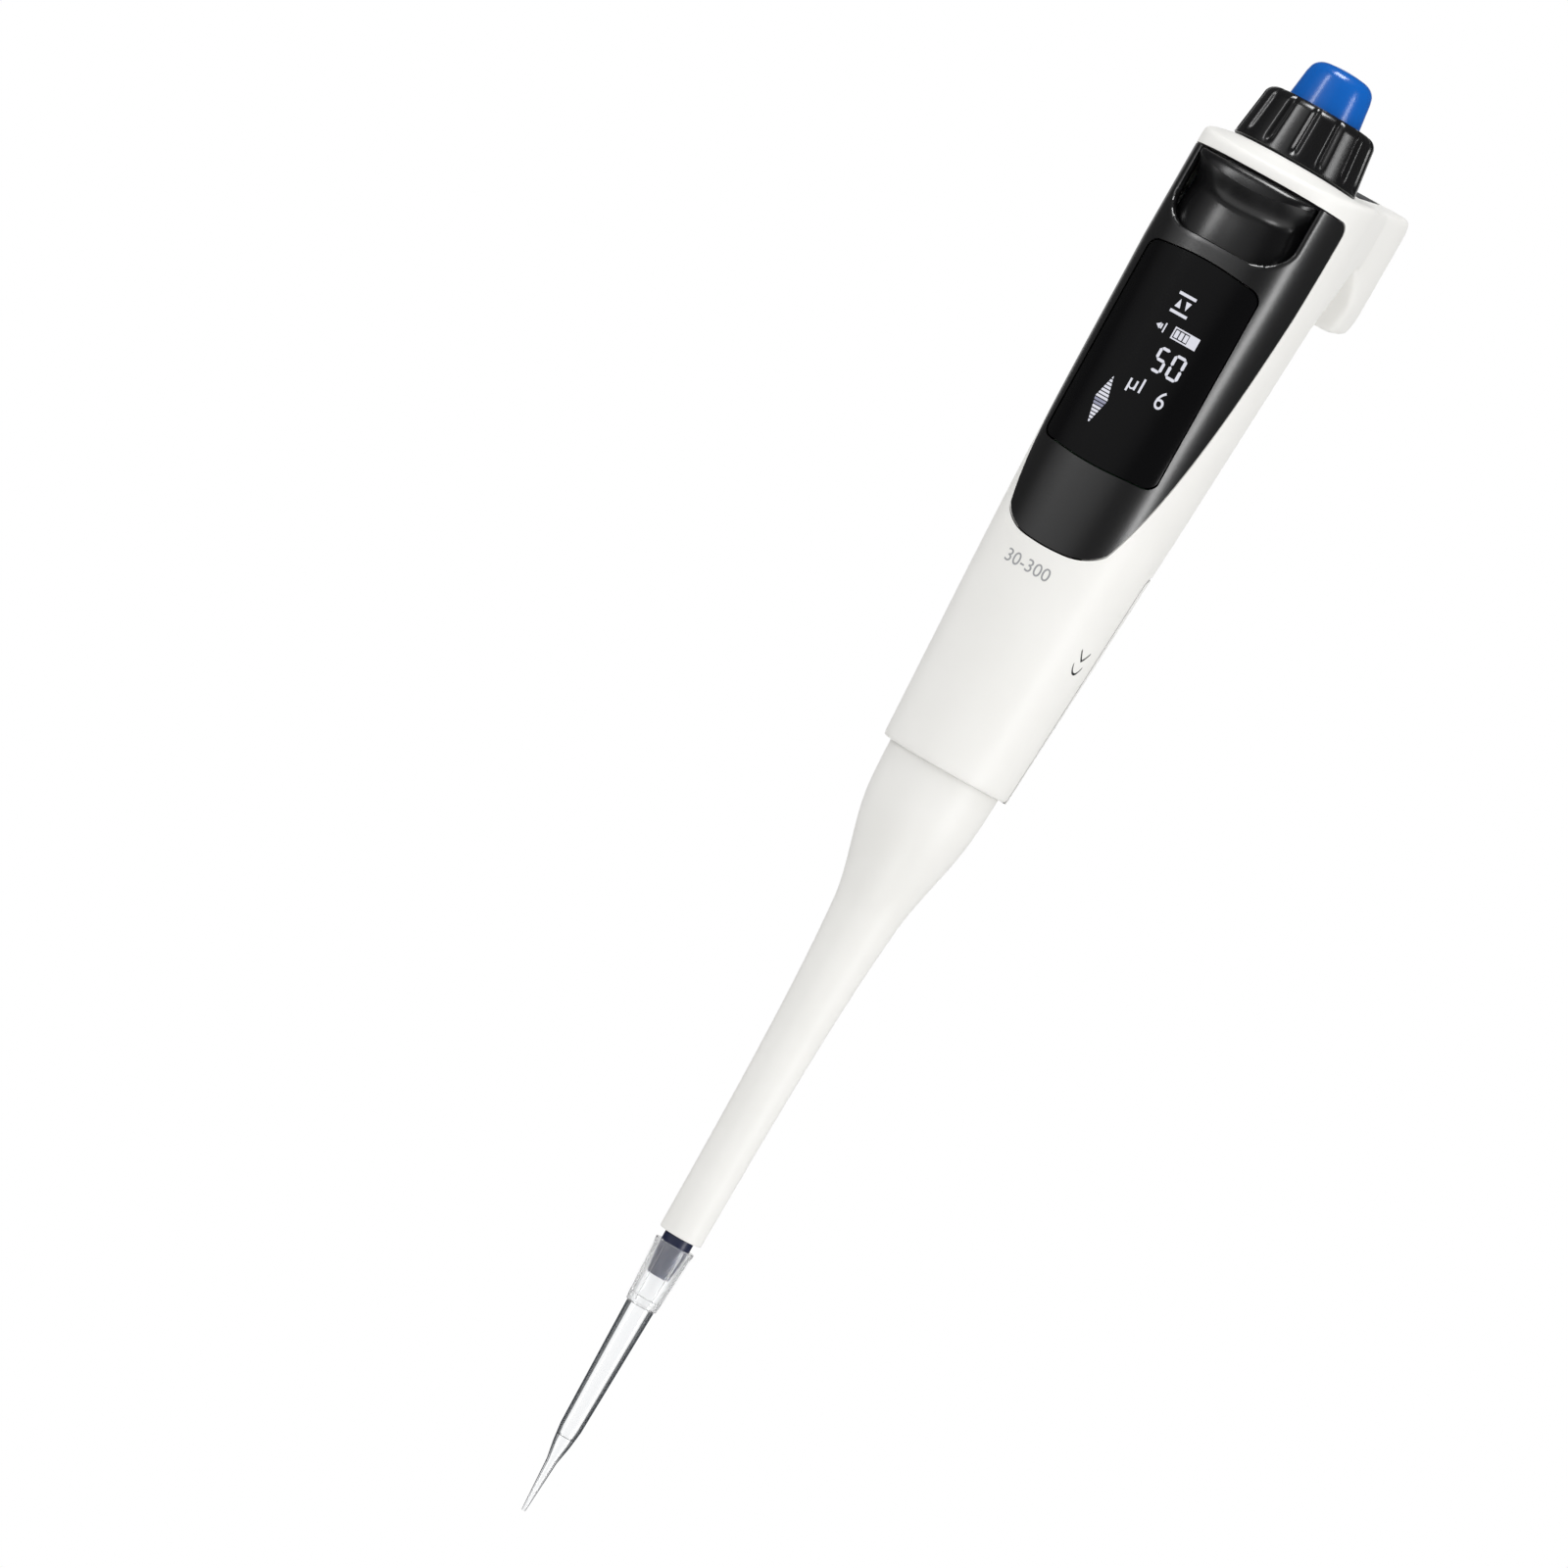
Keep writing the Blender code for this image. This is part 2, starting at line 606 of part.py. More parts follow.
def hook_body(surface):
    """The hook's side view pushed across, trimmed to its plan."""
    back = HEAD_HALF_DEPTH
    tip_inner = HOOK_REACH - HOOK_TIP_THICKNESS - 1.0 * MM
    side = filleted([
        (HOOK_ROOT_Y, crest_z(HOOK_ROOT_Y) - 0.6 * MM, 0),
        (CREST_HOOK_Y, CREST_HOOK_Z, 6 * MM),
        (HOOK_REACH - 1.2 * MM, CREST_HOOK_Z - 2.5 * MM, 5 * MM),
        (HOOK_REACH, 0.0, 20 * MM),
        (HOOK_REACH - 0.6 * MM, HOOK_TIP_Z, 1.8 * MM),
        (tip_inner, HOOK_TIP_Z + 0.3 * MM, 1.2 * MM),
        (HOOK_SEAT_FAR_Y + 6 * MM, -3.6 * MM, 12 * MM),
        (HOOK_SEAT_FAR_Y, 0.0, 2 * MM),
        (HOOK_SEAT_NEAR_Y, 0.0, 1.6 * MM),
        (back - 0.4 * MM, -3.4 * MM, 0),
        (HOOK_ROOT_Y, -3.4 * MM, 0),
    ])
    hook = prism("hook_form", side, "X", -HEAD_HALF_WIDTH, HEAD_HALF_WIDTH, surface)
    edge = []
    steps = 7
    for index in range(steps):
        y = HOOK_ROOT_Y - OVERRUN + (HOOK_SEAT_FAR_Y - HOOK_ROOT_Y + OVERRUN) * index / steps
        flare = HOOK_FLARE * math.exp(-(y - HOOK_ROOT_Y) / HOOK_FLARE_LENGTH)
        edge.append((HOOK_HALF_WIDTH + min(flare, HOOK_FLARE), y))
    reach = HOOK_REACH - HOOK_SEAT_FAR_Y + 0.4 * MM
    arc_steps = 12
    for index in range(arc_steps):
        angle = math.pi / 2 * index / arc_steps
        edge.append((
            HOOK_HALF_WIDTH * math.cos(angle) ** (2 / HOOK_PLAN_SQUARENESS),
            HOOK_SEAT_FAR_Y + reach * math.sin(angle) ** (2 / HOOK_PLAN_SQUARENESS),
        ))
    plan = edge + [(0.0, HOOK_SEAT_FAR_Y + reach)] + [(-x, y) for x, y in reversed(edge)]
    outline = prism("hook_plan", plan, "Z", HOOK_TIP_Z - OVERRUN, CREST_HOOK_Z + OVERRUN, surface)
    combine(hook, outline, "INTERSECT")
    return hook


def inlay_outline(grow):
    half = INLAY_HALF_WIDTH + grow
    near = INLAY_NEAR_Y - grow
    far = INLAY_NEAR_Y + INLAY_LENGTH + grow
    return filleted([
        (-half, near, INLAY_CORNER), (half, near, INLAY_CORNER),
        (half, far, INLAY_FAR_CORNER), (-half, far, INLAY_FAR_CORNER),
    ])


def inlay_slab(name, below, above, grow, surface):
    """A slab along the hook's sloping top, from below to above its surface, with the inlay's plan."""
    near = INLAY_NEAR_Y - 2 * OVERRUN
    far = INLAY_NEAR_Y + INLAY_LENGTH + 2 * OVERRUN
    side = [
        (near, crest_z(near) + below), (far, crest_z(far) + below),
        (far, crest_z(far) + above), (near, crest_z(near) + above),
    ]
    slab = prism(name, side, "X", -HEAD_HALF_WIDTH, HEAD_HALF_WIDTH, surface)
    plan = prism(name + "_plan", inlay_outline(grow), "Z", 0, CREST_HOOK_Z + 4 * OVERRUN, surface)
    combine(slab, plan, "INTERSECT")
    return slab


# Front panel

def panel_edge_y(z):
    share = (PANEL_TOP_Z - z) / PANEL_LENGTH
    return PANEL_EDGE_Y - PANEL_SWEEP * share * share


def panel_side_outline(grow):
    """The panel from the side: forward of its swept edge."""
    foot = PANEL_TOP_Z - PANEL_LENGTH - OVERRUN
    far = -HEAD_HALF_DEPTH - OVERRUN
    swept = [
        (panel_edge_y(z) + grow, z, 0)
        for z in heights(PANEL_TOP_Z - 2 * PANEL_CORNER, foot, 8 * MM)
    ]
    top = [
        (far, PANEL_TOP_Z + grow, 0),
        (PANEL_EDGE_Y + grow, PANEL_TOP_Z + grow, PANEL_CORNER),
    ]
    return filleted(top + swept + [(far, foot, 0)])


def panel_front_outline(grow):
    """The panel from the front: open upwards, with a rounded foot."""
    foot = PANEL_TOP_Z - PANEL_LENGTH - grow
    corner_x = PANEL_FOOT_HALF_WIDTH + grow
    wide = HEAD_HALF_WIDTH + OVERRUN
    half = [
        (corner_x, foot + PANEL_FOOT_BULGE, PANEL_FOOT_CORNER),
        (wide + grow, foot + PANEL_FOOT_FLARE, 0),
        (wide, PANEL_TOP_Z + OVERRUN, 0),
    ]
    mirrored = [(-x, z, radius) for x, z, radius in reversed(half)]
    return filleted([(0.0, foot, PANEL_FOOT_ROUNDING)] + half + mirrored)


def key_slot_outline(grow):
    half = KEY_HALF_WIDTH + GAP + grow
    foot = KEY_SLOT_FOOT_Z - grow
    top = PANEL_TOP_Z + OVERRUN
    return filleted([
        (-half, foot, KEY_SLOT_CORNER), (half, foot, KEY_SLOT_CORNER), (half, top, 0), (-half, top, 0),
    ])


def window_outline(grow):
    half = WINDOW_HALF_WIDTH + grow
    top = WINDOW_TOP_Z + grow
    bottom = WINDOW_BOTTOM_Z - grow
    return filleted([
        (-half, bottom, WINDOW_CORNER), (0.0, bottom - WINDOW_BULGE, WINDOW_ROUNDING),
        (half, bottom, WINDOW_CORNER), (half, top, WINDOW_CORNER),
        (0.0, top + WINDOW_BULGE, WINDOW_ROUNDING), (-half, top, WINDOW_CORNER),
    ])


def front_prism(name, outline, surface):
    return prism(name, outline, "Y", -HEAD_HALF_DEPTH - OVERRUN, -2 * MM, surface)


def side_prism(name, outline, surface):
    wide = HEAD_HALF_WIDTH + OVERRUN
    return prism(name, outline, "X", -wide, wide, surface)


def make_front_panel(surface):
    panel = casing_skin("front_panel", surface)
    combine(panel, side_prism("panel_side", panel_side_outline(0.0), surface), "INTERSECT")
    combine(panel, front_prism("panel_front", panel_front_outline(0.0), surface), "INTERSECT")
    combine(panel, casing_core("panel_hollow", surface, top=PANEL_TOP_Z + 2 * OVERRUN), "DIFFERENCE")
    combine(panel, front_prism("panel_key_slot", key_slot_outline(0.0), surface), "DIFFERENCE")
    combine(panel, front_prism("panel_window_hole", window_outline(GAP), surface), "DIFFERENCE")
    return panel


def make_window(surface):
    top = WINDOW_TOP_Z + 2 * OVERRUN
    bottom = WINDOW_BOTTOM_Z - 2 * OVERRUN
    front = [handle_ring(z, WINDOW_INSET) for z in reversed(heights(top, bottom, RING_SPACING))]
    window = lofted("display_window", front, surface)
    back_levels = reversed(heights(top + OVERRUN, bottom - OVERRUN, RING_SPACING))
    back = [handle_ring(z, WINDOW_INSET + WINDOW_THICKNESS) for z in back_levels]
    combine(window, lofted("window_back", back, surface), "DIFFERENCE")
    combine(window, front_prism("window_edge", window_outline(0.0), surface), "INTERSECT")
    return window


# Ejector key

def key_lip_z(x):
    return KEY_LIP_Z + KEY_LIP_RISE * (x / KEY_HALF_WIDTH) ** 2


def make_ejector_key(surface):
    """The key's face is a grid of points set in or out of the casing's front skin: proud at the lip, deep in
    the scoop. Its back is one skin further in."""
    columns = 16
    lip_rows = 3
    scoop_rows = 6
    skirt_rows = 2
    rows = lip_rows + scoop_rows + skirt_rows
    deep = SHELL_WALL + 2 * GAP
    foot = KEY_SLOT_FOOT_Z - KEY_SKIRT_DROP
    bm = bmesh.new()
    bmesh.ops.create_grid(bm, x_segments=columns, y_segments=rows, size=0.5)
    for vert in list(bm.verts):
        across = vert.co.x * 2
        row = round((0.5 - vert.co.y) * rows)
        x = across * KEY_HALF_WIDTH
        lip_z = key_lip_z(x)
        edge_share = 1 - abs(across) ** 6
        if row <= lip_rows:
            share = row / lip_rows
            z = KEY_TOP_Z + (lip_z - KEY_TOP_Z) * share
            proud = KEY_LIP_PROUD * math.sin(math.pi / 2 * share) * edge_share
        elif row <= lip_rows + scoop_rows:
            share = (row - lip_rows) / scoop_rows
            z = lip_z - KEY_SCOOP_HEIGHT * share
            lip = KEY_LIP_PROUD * edge_share
            proud = lip - (lip + deep) * math.sin(math.pi / 2 * share)
        else:
            share = (row - lip_rows - scoop_rows) / skirt_rows
            z = lip_z - KEY_SCOOP_HEIGHT + (foot - lip_z + KEY_SCOOP_HEIGHT) * share
            proud = -deep
        vert.co = (x, handle_front_y(x, HEAD_LOW_Z, -proud), z)
    grown = bmesh.ops.extrude_face_region(bm, geom=list(bm.faces))
    for item in grown["geom"]:
        if isinstance(item, bmesh.types.BMVert):
            item.co.y = handle_front_y(item.co.x, HEAD_LOW_Z, deep + KEY_SKIRT_WALL)
    key = add_object("ejector_key", bm, surface)
    arm_low = ARM_Z - ARM_THICKNESS / 2
    arm_high = ARM_Z + ARM_THICKNESS / 2
    arm = block(
        "key_arm",
        (ROD_X - ROD_THICKNESS / 2, handle_front_y(ROD_X, HEAD_LOW_Z, deep + 0.6 * MM), arm_low),
        (ARM_INNER_X, ROD_Y + ROD_WIDTH / 2, arm_high), surface,
    )
    combine(key, arm, "UNION")
    return key


def make_ejector_rod(surface):
    low = (ROD_X - ROD_THICKNESS / 2, ROD_Y - ROD_WIDTH / 2, SLEEVE_TOP_Z + GAP)
    high = (ROD_X + ROD_THICKNESS / 2, ROD_Y + ROD_WIDTH / 2, ARM_Z - ARM_THICKNESS / 2 - GAP)
    return block("ejector_rod", low, high, surface)


# Ejector sleeve

def sleeve_radius(z):
    """A cylinder under the casing, an S-shaped shoulder, then a neck that slims by a fading curve."""
    if z > SLEEVE_SHOULDER_Z:
        share = (SLEEVE_TOP_Z - z) / (SLEEVE_TOP_Z - SLEEVE_SHOULDER_Z)
        return SLEEVE_TOP_RADIUS + (SLEEVE_SHOULDER_RADIUS - SLEEVE_TOP_RADIUS) * share ** 3
    if z > SLEEVE_NECK_Z:
        share = (SLEEVE_SHOULDER_Z - z) / (SLEEVE_SHOULDER_Z - SLEEVE_NECK_Z)
        return SLEEVE_SHOULDER_RADIUS + (SLEEVE_NECK_RADIUS - SLEEVE_SHOULDER_RADIUS) * (
            0.32 * share + 0.68 * smooth_step(share * 0.97 + 0.03)
        )
    fade = math.exp(-(SLEEVE_NECK_Z - z) / SLEEVE_SLIM_LENGTH)
    end_fade = math.exp(-(SLEEVE_NECK_Z - SLEEVE_END_Z) / SLEEVE_SLIM_LENGTH)
    return SLEEVE_END_RADIUS + (SLEEVE_NECK_RADIUS - SLEEVE_END_RADIUS) * (fade - end_fade) / (1 - end_fade)


def sleeve_centre_y(z):
    share = smooth_step((SLEEVE_SHOULDER_Z - z) / (SLEEVE_SHOULDER_Z - SLEEVE_NECK_Z))
    return -HANDLE_END_FORWARD * (1 - share)


def sleeve_wall(z):
    share = smooth_step((SLEEVE_NECK_Z - z) / (SLEEVE_NECK_Z - SLEEVE_END_Z))
    return SLEEVE_WALL + (SLEEVE_END_WALL - SLEEVE_WALL) * share


def make_sleeve(surface):
    levels = heights(SLEEVE_TOP_Z, SLEEVE_SHOULDER_Z, RING_SPACING)[:-1]
    levels += heights(SLEEVE_SHOULDER_Z, SLEEVE_NECK_Z, 5 * MM)[:-1]
    levels += heights(SLEEVE_NECK_Z, SLEEVE_END_Z, 18 * MM)
    rings = []
    for z in levels:
        outline = superellipse(sleeve_radius(z), sleeve_radius(z), sleeve_centre_y(z), ROUND, SKIN_SIDES)
        rings.append([Vector((p.x, p.y, z)) for p in outline])
    for z in reversed(levels):
        inner = sleeve_radius(z) - sleeve_wall(z)
        outline = superellipse(inner, inner, sleeve_centre_y(z), ROUND, SKIN_SIDES)
        rings.append([Vector((p.x, p.y, z)) for p in outline])
    return lofted("ejector_sleeve", rings, surface, closed_tube=True)


# Battery cover

def cover_outline(grow):
    edge = COVER_EDGE_Y + GAP - grow
    top = COVER_TOP_Z - GAP + grow
    far = HEAD_HALF_DEPTH + OVERRUN
    foot = HANDLE_END_Z - OVERRUN
    return filleted([(edge, foot, 0), (far, foot, 0), (far, top, 0), (edge, top, COVER_CORNER)])


def cover_prism(name, grow, surface):
    return side_prism(name, cover_outline(grow), surface)


def make_battery_cover(surface):
    cover = casing_skin("battery_cover", surface)
    combine(cover, cover_prism("cover_trim", 0.0, surface), "INTERSECT")
    combine(cover, casing_core("cover_hollow", surface), "DIFFERENCE")
    return cover


# Casing

def make_handle_shell(surface):
    shell = head_body(surface)
    combine(shell, hook_body(surface), "UNION")
    combine(shell, casing_core("casing_hollow", surface), "DIFFERENCE")
    side = side_prism("pocket_side", panel_side_outline(GAP), surface)
    combine(side, front_prism("pocket_front", panel_front_outline(GAP), surface), "INTERSECT")
    combine(shell, side, "DIFFERENCE")
    combine(shell, cover_prism("cover_opening", GAP, surface), "DIFFERENCE")
    pocket = inlay_slab("inlay_pocket", -INLAY_THICKNESS - GAP, 2 * OVERRUN, GAP, surface)
    combine(shell, pocket, "DIFFERENCE")
    knob_room = PLATFORM_RADIUS - 0.1 * MM
    recess = [(0.0, CREST_HOOK_Z), (knob_room, CREST_HOOK_Z), (knob_room, PLATFORM_Z), (0.0, PLATFORM_Z)]
    combine(shell, turned("knob_recess", recess, surface, SHELL_SIDES, bored=False), "DIFFERENCE")
    drill(shell, (0.0, 0.0), SHAFT_RADIUS + GAP, PLATFORM_Z + OVERRUN, HEAD_CEILING_Z - OVERRUN)
    return shell


# Knob and button

def knob_top_z():
    return PLATFORM_Z + GAP + KNOB_HEIGHT


def make_knob(surface):
    """Fluted cap: rings whose radius dips at every flute, with the dips fading out at the top rounding."""
    per_flute = 4
    count = KNOB_FLUTES * per_flute
    base = PLATFORM_Z + GAP
    top = knob_top_z()
    bore = BUTTON_BASE_RADIUS + GAP
    well = top - BUTTON_SKIRT - BUTTON_TRAVEL - GAP

    def ring(radius, z, depth):
        points = []
        for index in range(count):
            angle = 2 * math.pi * index / count
            dip = max(0.0, math.cos(KNOB_FLUTES * angle)) ** 3
            r = radius - depth * dip
            points.append(Vector((r * math.cos(angle), r * math.sin(angle), z)))
        return points

    def side_radius(z):
        return KNOB_BASE_RADIUS + (KNOB_TOP_RADIUS - KNOB_BASE_RADIUS) * (z - base) / KNOB_HEIGHT

    outer = [ring(side_radius(base), base, 0.15 * KNOB_FLUTE_DEPTH)]
    for share in (0.25, 0.6):
        z = base + share * (KNOB_HEIGHT - KNOB_CORNER)
        outer.append(ring(side_radius(z), z, KNOB_FLUTE_DEPTH))
    for step in range(4):
        angle = math.pi / 2 * step / 3
        z = top - KNOB_CORNER * (1 - math.sin(angle))
        radius = side_radius(top - KNOB_CORNER) - KNOB_CORNER * (1 - math.cos(angle)) * 0.9
        outer.append(ring(radius, z, KNOB_FLUTE_DEPTH * (1 - 0.28 * step)))
    inner = [
        ring(bore, top, 0), ring(bore, well, 0),
        ring(SHAFT_RADIUS + GAP, well, 0), ring(SHAFT_RADIUS + GAP, base, 0),
    ]
    return lofted("control_knob", outer + inner, surface, closed_tube=True)


def make_knob_shaft(surface):
    """A tube with a head that the knob sits under, down into the encoder."""
    well = knob_top_z() - BUTTON_SKIRT - BUTTON_TRAVEL - GAP
    inner = SHAFT_RADIUS - SHAFT_WALL
    head = SHAFT_RADIUS + 2.2 * MM
    head_top = well + GAP + SHAFT_HEAD_HEIGHT
    foot = encoder_low_z() + 0.8 * MM
    profile = [
        (head, head_top), (head, well + GAP), (SHAFT_RADIUS, well + GAP),
        (SHAFT_RADIUS, foot), (inner, foot), (inner, head_top),
    ]
    return turned("knob_shaft", profile, surface, SMALL_SIDES)


def make_push_button(surface):
    base = knob_top_z()
    top = base + BUTTON_SHOWING
    skirt = base - BUTTON_SKIRT
    inner = BUTTON_BASE_RADIUS - BUTTON_WALL
    shoulder_z = top - BUTTON_SHOULDER
    outer = [(BUTTON_BASE_RADIUS, skirt), (BUTTON_BASE_RADIUS, base)]
    outer.append((BUTTON_TOP_RADIUS + 0.15 * MM, shoulder_z - 0.3 * MM))
    for step in range(1, 5):
        angle = math.pi / 2 * step / 4
        outer.append((
            BUTTON_TOP_RADIUS - BUTTON_SHOULDER * (1 - math.cos(angle)),
            shoulder_z + (BUTTON_SHOULDER - 0.35 * MM) * math.sin(angle),
        ))
    profile = [(0.0, top)] + list(reversed(outer))
    profile += [(inner, skirt), (inner, base + BUTTON_HOLLOW), (0.0, base + BUTTON_HOLLOW)]
    return turned("push_button", profile, surface, SKIN_SIDES, bored=False)


def stem_low_z():
    return switch_top_z() + BUTTON_TRAVEL + GAP


def make_button_stem(surface):
    top = knob_top_z() + BUTTON_HOLLOW - GAP
    shoulder = top - STEM_HEAD_HEIGHT
    profile = [
        (0.0, top), (STEM_HEAD_RADIUS, top), (STEM_HEAD_RADIUS, shoulder), (STEM_RADIUS, shoulder),
        (STEM_RADIUS, stem_low_z()), (0.0, stem_low_z()),
    ]
    return turned("button_stem", profile, surface, SMALL_SIDES, bored=False)


def make_button_spring(surface):
    well = knob_top_z() - BUTTON_SKIRT - BUTTON_TRAVEL - GAP
    low = well + GAP + SHAFT_HEAD_HEIGHT + GAP
    high = knob_top_z() + BUTTON_HOLLOW - GAP - STEM_HEAD_HEIGHT - GAP
    return spring("button_spring", (0, 0), low, high, BUTTON_SPRING_RADIUS, BUTTON_SPRING_WIRE, 4, surface)


# Upper works

def chassis_top_z():
    return HEAD_CEILING_Z - GAP


def encoder_top_z():
    return chassis_top_z() - CHASSIS_TOP_THICKNESS - GAP


def encoder_low_z():
    return encoder_top_z() - ENCODER_HEIGHT


def switch_top_z():
    return encoder_low_z() - 1.2 * MM


def make_encoder(surface):
    w = ENCODER_HALF_WIDTH
    corner = 1.5 * MM
    square = filleted([(-w, -w, corner), (w, -w, corner), (w, w, corner), (-w, w, corner)], 2)
    body = prism("encoder_body", square, "Z", encoder_low_z(), encoder_top_z(), surface)
    drill(body, (0.0, 0.0), SHAFT_RADIUS + GAP, encoder_top_z() + OVERRUN, encoder_low_z() - OVERRUN)
    return body


def make_switch(surface):
    w = SWITCH_HALF_WIDTH
    low = KEY_BOARD_Z + GAP
    high = switch_top_z() - 0.8 * MM
    body = block("button_switch", (-w, -w, low), (w, w, high), surface)
    cap_low = high - 0.5 * MM
    cap_radius = 1.6 * MM
    cap = [(0.0, switch_top_z()), (cap_radius, switch_top_z()), (cap_radius, cap_low), (0.0, cap_low)]
    combine(body, turned("switch_cap", cap, surface, SMALL_SIDES, bored=False), "UNION")
    return body


def key_board_screw_spots():
    middle = (SHELF_FRONT_Y + SHELF_BACK_Y) / 2
    return [(side * KEY_BOARD_SCREW_X, middle) for side in (-1, 1)]


def make_key_board(surface):
    w = KEY_BOARD_HALF_WIDTH
    near = KEY_BOARD_FRONT_Y
    far = KEY_BOARD_BACK_Y
    outline = filleted([(-w, near, 1 * MM), (w, near, 1 * MM), (w, far, 1 * MM), (-w, far, 1 * MM)], 2)
    board = prism("key_board", outline, "Z", KEY_BOARD_Z - KEY_BOARD_THICKNESS, KEY_BOARD_Z, surface)
    for x, y in key_board_screw_spots():
        drill(board, (x, y), SCREW_SHANK_RADIUS + GAP, KEY_BOARD_Z + OVERRUN, KEY_BOARD_Z - 2 * OVERRUN)
    return board


def make_buzzer(surface):
    low = KEY_BOARD_Z + GAP
    profile = [
        (0.0, low + BUZZER_HEIGHT), (BUZZER_RADIUS - 0.4 * MM, low + BUZZER_HEIGHT),
        (BUZZER_RADIUS, low + BUZZER_HEIGHT - 0.4 * MM), (BUZZER_RADIUS, low), (0.0, low),
    ]
    return turned("buzzer", profile, surface, SMALL_SIDES, centre=(0.0, 7.6 * MM), bored=False)


# Chassis

def foot_plate_radius():
    z = FOOT_PLATE_TOP_Z
    return handle_half_width(z) - wall_at(z) - GAP - 0.1 * MM


def make_chassis(surface):
    top = chassis_top_z()
    half = CHASSIS_TOP_HALF_WIDTH
    corner = 3 * MM
    top_plate = filleted([
        (-half, CHASSIS_TOP_FRONT_Y, corner), (half, CHASSIS_TOP_FRONT_Y, corner),
        (half, CHASSIS_TOP_BACK_Y, corner), (-half, CHASSIS_TOP_BACK_Y, corner),
    ], 2)
    frame = prism("chassis", top_plate, "Z", top - CHASSIS_TOP_THICKNESS, top, surface)
    motor_low = MOTOR_PLATE_TOP_Z - CHASSIS_PLATE
    motor_plate = filleted([
        (-BOARD_HALF_WIDTH, BOARD_FRONT_Y, 1 * MM), (BOARD_HALF_WIDTH, BOARD_FRONT_Y, 1 * MM),
        (COLUMN_X + COLUMN_WIDTH, COLUMN_Y + COLUMN_DEPTH, 1 * MM), (6 * MM, 11 * MM, 3 * MM),
        (-6 * MM, 11 * MM, 3 * MM), (-COLUMN_X - COLUMN_WIDTH / 2, COLUMN_Y + COLUMN_DEPTH, 1 * MM),
    ], 2)
    combine(frame, prism("motor_plate", motor_plate, "Z", motor_low, MOTOR_PLATE_TOP_Z, surface), "UNION")
    radius = foot_plate_radius()
    foot_low = FOOT_PLATE_TOP_Z - CHASSIS_PLATE
    disc = [(0.0, FOOT_PLATE_TOP_Z), (radius, FOOT_PLATE_TOP_Z), (radius, foot_low), (0.0, foot_low)]
    centre = (0.0, handle_centre_y(FOOT_PLATE_TOP_Z))
    combine(frame, turned("foot_plate", disc, surface, ROUND_SIDES, centre, bored=False), "UNION")
    for side in (-1, 1):
        x = side * COLUMN_X
        inner = x - COLUMN_WIDTH / 2
        outer = x + COLUMN_WIDTH / 2
        near = COLUMN_Y
        far = COLUMN_Y + COLUMN_DEPTH
        low = (inner, near, foot_low + 0.4 * MM)
        high = (outer, far, top - 0.4 * MM)
        combine(frame, block(f"column_{side}", low, high, surface), "UNION")
    shelf_top = KEY_BOARD_Z - KEY_BOARD_THICKNESS - GAP
    shelf_end = COLUMN_X - COLUMN_WIDTH / 4
    shelf_low = (-shelf_end, SHELF_FRONT_Y, shelf_top - SHELF_THICKNESS)
    shelf_high = (shelf_end, SHELF_BACK_Y, shelf_top)
    combine(frame, block("key_shelf", shelf_low, shelf_high, surface), "UNION")
    spring_seat_z = ARM_Z - ARM_THICKNESS / 2 - GAP - EJECT_SPRING_LENGTH - GAP
    spring_shelf = block(
        "spring_shelf",
        (-COLUMN_X - COLUMN_WIDTH / 2, EJECT_SPRING_Y - 2 * MM, spring_seat_z - SHELF_THICKNESS),
        (ARM_INNER_X, COLUMN_Y + 0.5 * MM, spring_seat_z), surface,
    )
    combine(frame, spring_shelf, "UNION")
    lip_near = BATTERY_FRONT_Y + BATTERY_THICKNESS + GAP
    lip_far = lip_near + BATTERY_LIP_THICKNESS
    lip_top = BATTERY_TOP_Z - BATTERY_LENGTH + BATTERY_LIP_OVERLAP
    lip_half = BATTERY_LIP_HALF_WIDTH
    battery_lip = block(
        "battery_lip", (-lip_half, lip_near, foot_low + 0.4 * MM), (lip_half, lip_far, lip_top), surface,
    )
    combine(frame, battery_lip, "UNION")
    bore = BARREL_NECK_RADIUS + GAP
    holes = (
        (SHAFT_RADIUS + GAP, top + OVERRUN, top - CHASSIS_TOP_THICKNESS - OVERRUN),
        (BEARING_RADIUS + 0.6 * MM, MOTOR_PLATE_TOP_Z + OVERRUN, motor_low - OVERRUN),
        (bore, FOOT_PLATE_TOP_Z + OVERRUN, foot_low - OVERRUN),
    )
    for hole, high, low in holes:
        drill(frame, (0.0, 0.0), hole, high, low)
    for x, y in key_board_screw_spots():
        drill(frame, (x, y), SCREW_SHANK_RADIUS + GAP, KEY_BOARD_Z, KEY_BOARD_Z - 2 * OVERRUN)
    for side in (-1, 1):
        spot = (side * MOTOR_SCREW_X, 0.0)
        drill(frame, spot, SCREW_SHANK_RADIUS + GAP, MOTOR_PLATE_TOP_Z + OVERRUN, motor_low - OVERRUN)
    notch = block(
        "rod_way",
        (-HEAD_HALF_WIDTH, ROD_Y - ROD_WIDTH / 2 - GAP, foot_low - OVERRUN),
        (ROD_X + ROD_THICKNESS / 2 + GAP, ROD_Y + ROD_WIDTH / 2 + GAP, FOOT_PLATE_TOP_Z + OVERRUN), surface,
    )
    combine(frame, notch, "DIFFERENCE")
    return frame


